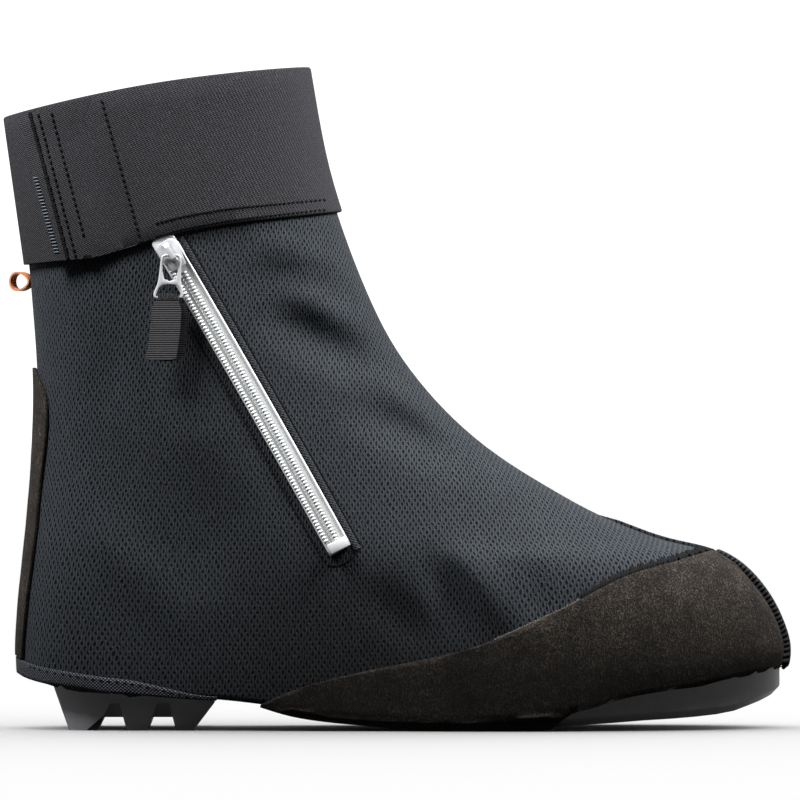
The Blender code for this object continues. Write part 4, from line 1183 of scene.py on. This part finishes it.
class OVERSHOE_OT_pull(bpy.types.Operator):
    """Slider, wire pull and its webbing tab"""
    bl_idname = "overshoe.pull"
    bl_label = "Slider and pull"

    def execute(self, context):
        enamel = satin("white_enamel", settings("overshoe_zip").enamel, 0.25, 0.002, 0.00003)
        slider = copy_of("zip_slider", "enamelled_slider")
        bevelled(slider, 0.0003, radians(30.0))
        shade(slider, False)
        dress(slider, enamel, "zip_slider")
        wire = copy_of("zip_pull", "wire_pull")
        places = corners(wire)
        top = places[:, 2].max()
        places[:, 0] -= PULL_LEAN * (top - places[:, 2])
        places[:, 2] -= PULL_DROP * smoothstep(top - places[:, 2], 0.0020, 0.0070)
        move_corners(wire, places)
        smoothed(wire, 1)
        shade(wire)
        dress(wire, enamel, "zip_pull", "pull")
        self.tab()
        return {"FINISHED"}

    def tab(self):
        """Two leaves of ribbed webbing that hang from the wire."""
        aside = PULL_LEAN * (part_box("zip_pull")[1].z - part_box("pull_webbing")[1].z)
        low, high = (corner - Vector((aside, 0.0, PULL_DROP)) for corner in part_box("pull_webbing"))
        webbing = ribbed("pull_webbing", (0.0185, 0.0181, 0.0190), 0.00085, 0.00022, 0.45)
        # Painted shade: the rear leaf is the same webbing in a darker copy
        shaded = ribbed("rear_webbing", (0.0060, 0.0059, 0.0062), 0.00085, 0.00022, 0.45)
        width = high.x - low.x
        depth = high.y - low.y
        leaves = (
            ("webbing_front_leaf", low.x - 0.0005, high.x - 0.0010, low.y + 0.10 * depth,
             low.z, high.z - 0.0030),
            ("webbing_rear_leaf", low.x + 0.0016, high.x + 0.0014, high.y - 0.55 * depth,
             low.z - 0.0003, high.z - 0.0040),
        )
        for name, left, right, face, foot, top in leaves:
            leaf = started(name, bpy.ops.mesh.primitive_cube_add, size=1.0)
            edit(leaf, lambda: bpy.ops.mesh.subdivide(number_cuts=12))
            places = corners(leaf)
            u, v = places[:, 0] + 0.5, places[:, 2] + 0.5
            neck = 1.0 - 0.22 * smoothstep(v, 0.86, 1.0)
            lean = -0.0022 * (1.0 - v) + 0.0005 * np.sin(v * pi)
            places[:, 0] = (left + right) / 2.0 + (u - 0.5) * (right - left) * neck + lean
            places[:, 2] = foot + v * (top - foot) - 0.0007 * np.sin(u * pi) * (1.0 - v)
            bow = 0.0004 * np.sin(u * pi) * (1.0 - v)
            places[:, 1] = face + 0.0011 * (places[:, 1] + 0.5) - bow
            move_corners(leaf, places)
            layer = leaf.data.uv_layers.active
            for loop in leaf.data.loops:
                place = places[loop.vertex_index]
                layer.uv[loop.index].vector = (place[0], place[2])
            shade(leaf, False)
            dress(leaf, shaded if "rear" in name else webbing, "pull_webbing", "pull")
        self.neck(low, high, width, webbing)

    def neck(self, low, high, width, webbing, tufts=22):
        """Frayed loop of the webbing around the wire."""
        middle = (low.x + high.x) / 2.0
        frames = []
        for index in range(tufts):
            share = index / (tufts - 1)
            x = middle + (share - 0.5) * width * 0.62
            z = high.z - 0.0020 - 0.0006 * ((index * 7) % 5) / 4.0
            out = Vector((0.1 * ((index * 5) % 7 - 3) / 3.0, -1.0, 0.15))
            frames.append(frame_at(Vector((x, (low.y + high.y) / 2.0 - 0.0004, z)),
                                   Vector((0.25 * ((index * 3) % 5 - 2) / 2.0, 0.0, 1.0)), out))
        frayed = stamped("frayed_neck", bead("fibre_tuft", 0.0046, 0.0007, 0.0018), frames)
        dress(frayed, webbing, None, "pull")


class OVERSHOE_OT_sole(bpy.types.Operator):
    """Sole, insole and ribbon loop: nodes of the frame with their finishes"""
    bl_idname = "overshoe.sole"
    bl_label = "Sole"

    def execute(self, context):
        sole = copy_of("outsole", "moulded_sole")
        bevelled(sole, 0.0005, SHARP)
        shade(sole, False)
        dress(sole, moulded_rubber(), "outsole")
        coat(frame["nodes"]["insole"], satin("insole_felt", (0.050, 0.050, 0.052), 0.9, 0.0006, 0.0004))
        self.loop(settings("overshoe_fabric").ribbon_color)
        return {"FINISHED"}

    def loop(self, color, width=0.0046, thickness=0.0007, yaw=0.5):
        """Small ribbon loop that stands out of the back."""
        low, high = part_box("loop_tag")
        loop = started("orange_loop", bpy.ops.mesh.primitive_grid_add, x_subdivisions=48,
                       y_subdivisions=4, size=1.0)
        places = corners(loop)
        turn = (places[:, 0] + 0.5) * 2.0 * pi
        across = places[:, 1] * width
        round_x, round_z = (high.x - low.x) / 2.0, (high.z - low.z) / 2.0
        x = (low.x + high.x) / 2.0 + round_x * np.cos(turn) + 0.0012
        places[:, 2] = (low.z + high.z) / 2.0 + round_z * np.sin(turn) * (1.0 - 0.25 * np.cos(turn))
        places[:, 0] = high.x + (x - high.x) * np.cos(yaw) + across * np.sin(yaw)
        places[:, 1] = (low.y + high.y) / 2.0 + across * np.cos(yaw) - (x - high.x) * np.sin(yaw)
        move_corners(loop, places)
        body = loop.modifiers.new("Thickness", "SOLIDIFY")
        body.thickness = thickness
        body.offset = 0.0
        apply_modifiers(loop)
        shade(loop, False)
        dress(loop, satin("orange_ribbon", color, 0.6, 0.0004, 0.0002), "loop_tag")


# Soft lamps, their power in watts
Lamp = namedtuple("Lamp", "name place aim size power")
LAMPS = (
    Lamp("key", (-0.33, -0.20, 0.53), (-0.11, 0.0, 0.18), 0.16, 12.5),
    Lamp("top", (0.19, -0.10, 0.38), (0.11, 0.0, 0.06), 0.14, 8.0),
)
# Directions over which the surroundings brighten, and how bright they are below the floor's level
SKY_BEHIND, SKY_ABOVE, SKY_LEVEL = (-0.55, 0.25), (0.35, 0.85), (-0.30, -0.02)
SKY_LOW = 0.12


class OVERSHOE_OT_stage(bpy.types.Operator):
    """Pale floor, soft lights and the camera"""
    bl_idname = "overshoe.stage"
    bl_label = "Stage"

    camera_away: distance("Camera distance", "From the shoe's middle", 4.0)
    view_width: distance("View width", "Width seen at the shoe", 0.3144)
    aim_x: distance("Aim", "Middle of the view along the shoe", -0.0012, -1.0)
    aim_z: distance("Aim height", "Middle of the view above the floor", 0.1289)
    front_light: bpy.props.FloatProperty(name="Front light", default=0.045,
                                         description="Brightness of the surroundings behind the camera")
    round_light: bpy.props.FloatProperty(name="Round light", default=1.25,
                                         description="Brightness of the surroundings elsewhere")

    def execute(self, context):
        self.floor()
        self.lights()
        data = bpy.data.cameras.new("camera")
        data.sensor_width = 36.0
        data.lens = data.sensor_width * self.camera_away / self.view_width
        data.clip_end = 50.0
        camera = bpy.data.objects.new("camera", data)
        context.scene.collection.objects.link(camera)
        camera.location = (self.aim_x, -self.camera_away, self.aim_z)
        camera.rotation_euler = (pi / 2.0, 0.0, 0.0)
        context.scene.camera = camera
        context.scene.view_settings.view_transform = "Standard"
        return {"FINISHED"}

    def floor(self):
        """Wide pale floor that meets the white surroundings."""
        floor = started("floor", bpy.ops.mesh.primitive_plane_add, size=30.0, location=(0.0, 8.0, 0.0))
        bpy.ops.object.transform_apply(location=True, rotation=False, scale=False)
        recipe = Recipe("pale_floor")
        floor.data.materials.append(recipe.finish((0.96, 0.96, 0.96, 1.0), 0.95))
        floor.visible_diffuse = False

    def lights(self):
        """White surroundings, dim on the camera's side, and soft lamps."""
        sky = Surroundings("studio")
        _, y, z = sky.parts(sky.node("ShaderNodeTexCoord"))
        more = self.round_light - self.front_light
        behind = y.step(*SKY_BEHIND) * more + self.front_light
        above = z.step(*SKY_ABOVE) * more + self.front_light
        level = z.step(*SKY_LEVEL) * (1.0 - SKY_LOW) + SKY_LOW
        bpy.context.scene.world = sky.finish(behind.math("MAXIMUM", above) * level)
        lit = bpy.data.collections.new("lit_by_lamps")
        for piece in bpy.context.scene.objects:
            if piece.type == "MESH" and piece.name != "floor":
                lit.objects.link(piece)
        for lamp in LAMPS:
            data = bpy.data.lights.new(lamp.name, "AREA")
            data.size = lamp.size
            data.energy = lamp.power
            light = bpy.data.objects.new(lamp.name, data)
            bpy.context.scene.collection.objects.link(light)
            light.location = lamp.place
            light.light_linking.receiver_collection = lit
            aim = Vector(lamp.aim) - Vector(lamp.place)
            light.rotation_euler = aim.to_track_quat("-Z", "Y").to_euler()


class OVERSHOE_PT_panel(bpy.types.Panel):
    """Buttons for each group of pieces"""
    bl_label = "Overshoe"
    bl_idname = "OVERSHOE_PT_panel"
    bl_space_type = "VIEW_3D"
    bl_region_type = "UI"
    bl_category = "Overshoe"

    def draw(self, context):
        for operator in OPERATORS:
            self.layout.operator(operator.bl_idname)
        for name in SETTINGS:
            group = getattr(context.scene, name)
            for key in group.bl_rna.properties.keys():
                if key not in ("rna_type", "name"):
                    self.layout.prop(group, key)


OPERATORS = (
    OVERSHOE_OT_upper, OVERSHOE_OT_suede, OVERSHOE_OT_webbing, OVERSHOE_OT_cuff,
    OVERSHOE_OT_cuff_stitches, OVERSHOE_OT_seams, OVERSHOE_OT_zip, OVERSHOE_OT_pull,
    OVERSHOE_OT_sole, OVERSHOE_OT_stage,
)
SETTINGS = {
    "overshoe_fabric": FabricSettings,
    "overshoe_zip": ZipSettings,
    "overshoe_stitches": StitchSettings,
}


def register():
    for group in SETTINGS.values():
        bpy.utils.register_class(group)
    for name, group in SETTINGS.items():
        setattr(bpy.types.Scene, name, bpy.props.PointerProperty(type=group))
    for operator in OPERATORS:
        bpy.utils.register_class(operator)
    bpy.utils.register_class(OVERSHOE_PT_panel)


def unregister():
    bpy.utils.unregister_class(OVERSHOE_PT_panel)
    for operator in reversed(OPERATORS):
        bpy.utils.unregister_class(operator)
    for name, group in SETTINGS.items():
        delattr(bpy.types.Scene, name)
        bpy.utils.unregister_class(group)


def main():
    register()
    for operator in OPERATORS:
        group, name = operator.bl_idname.split(".")
        getattr(getattr(bpy.ops, group), name)()


if __name__ == "__main__":
    main()
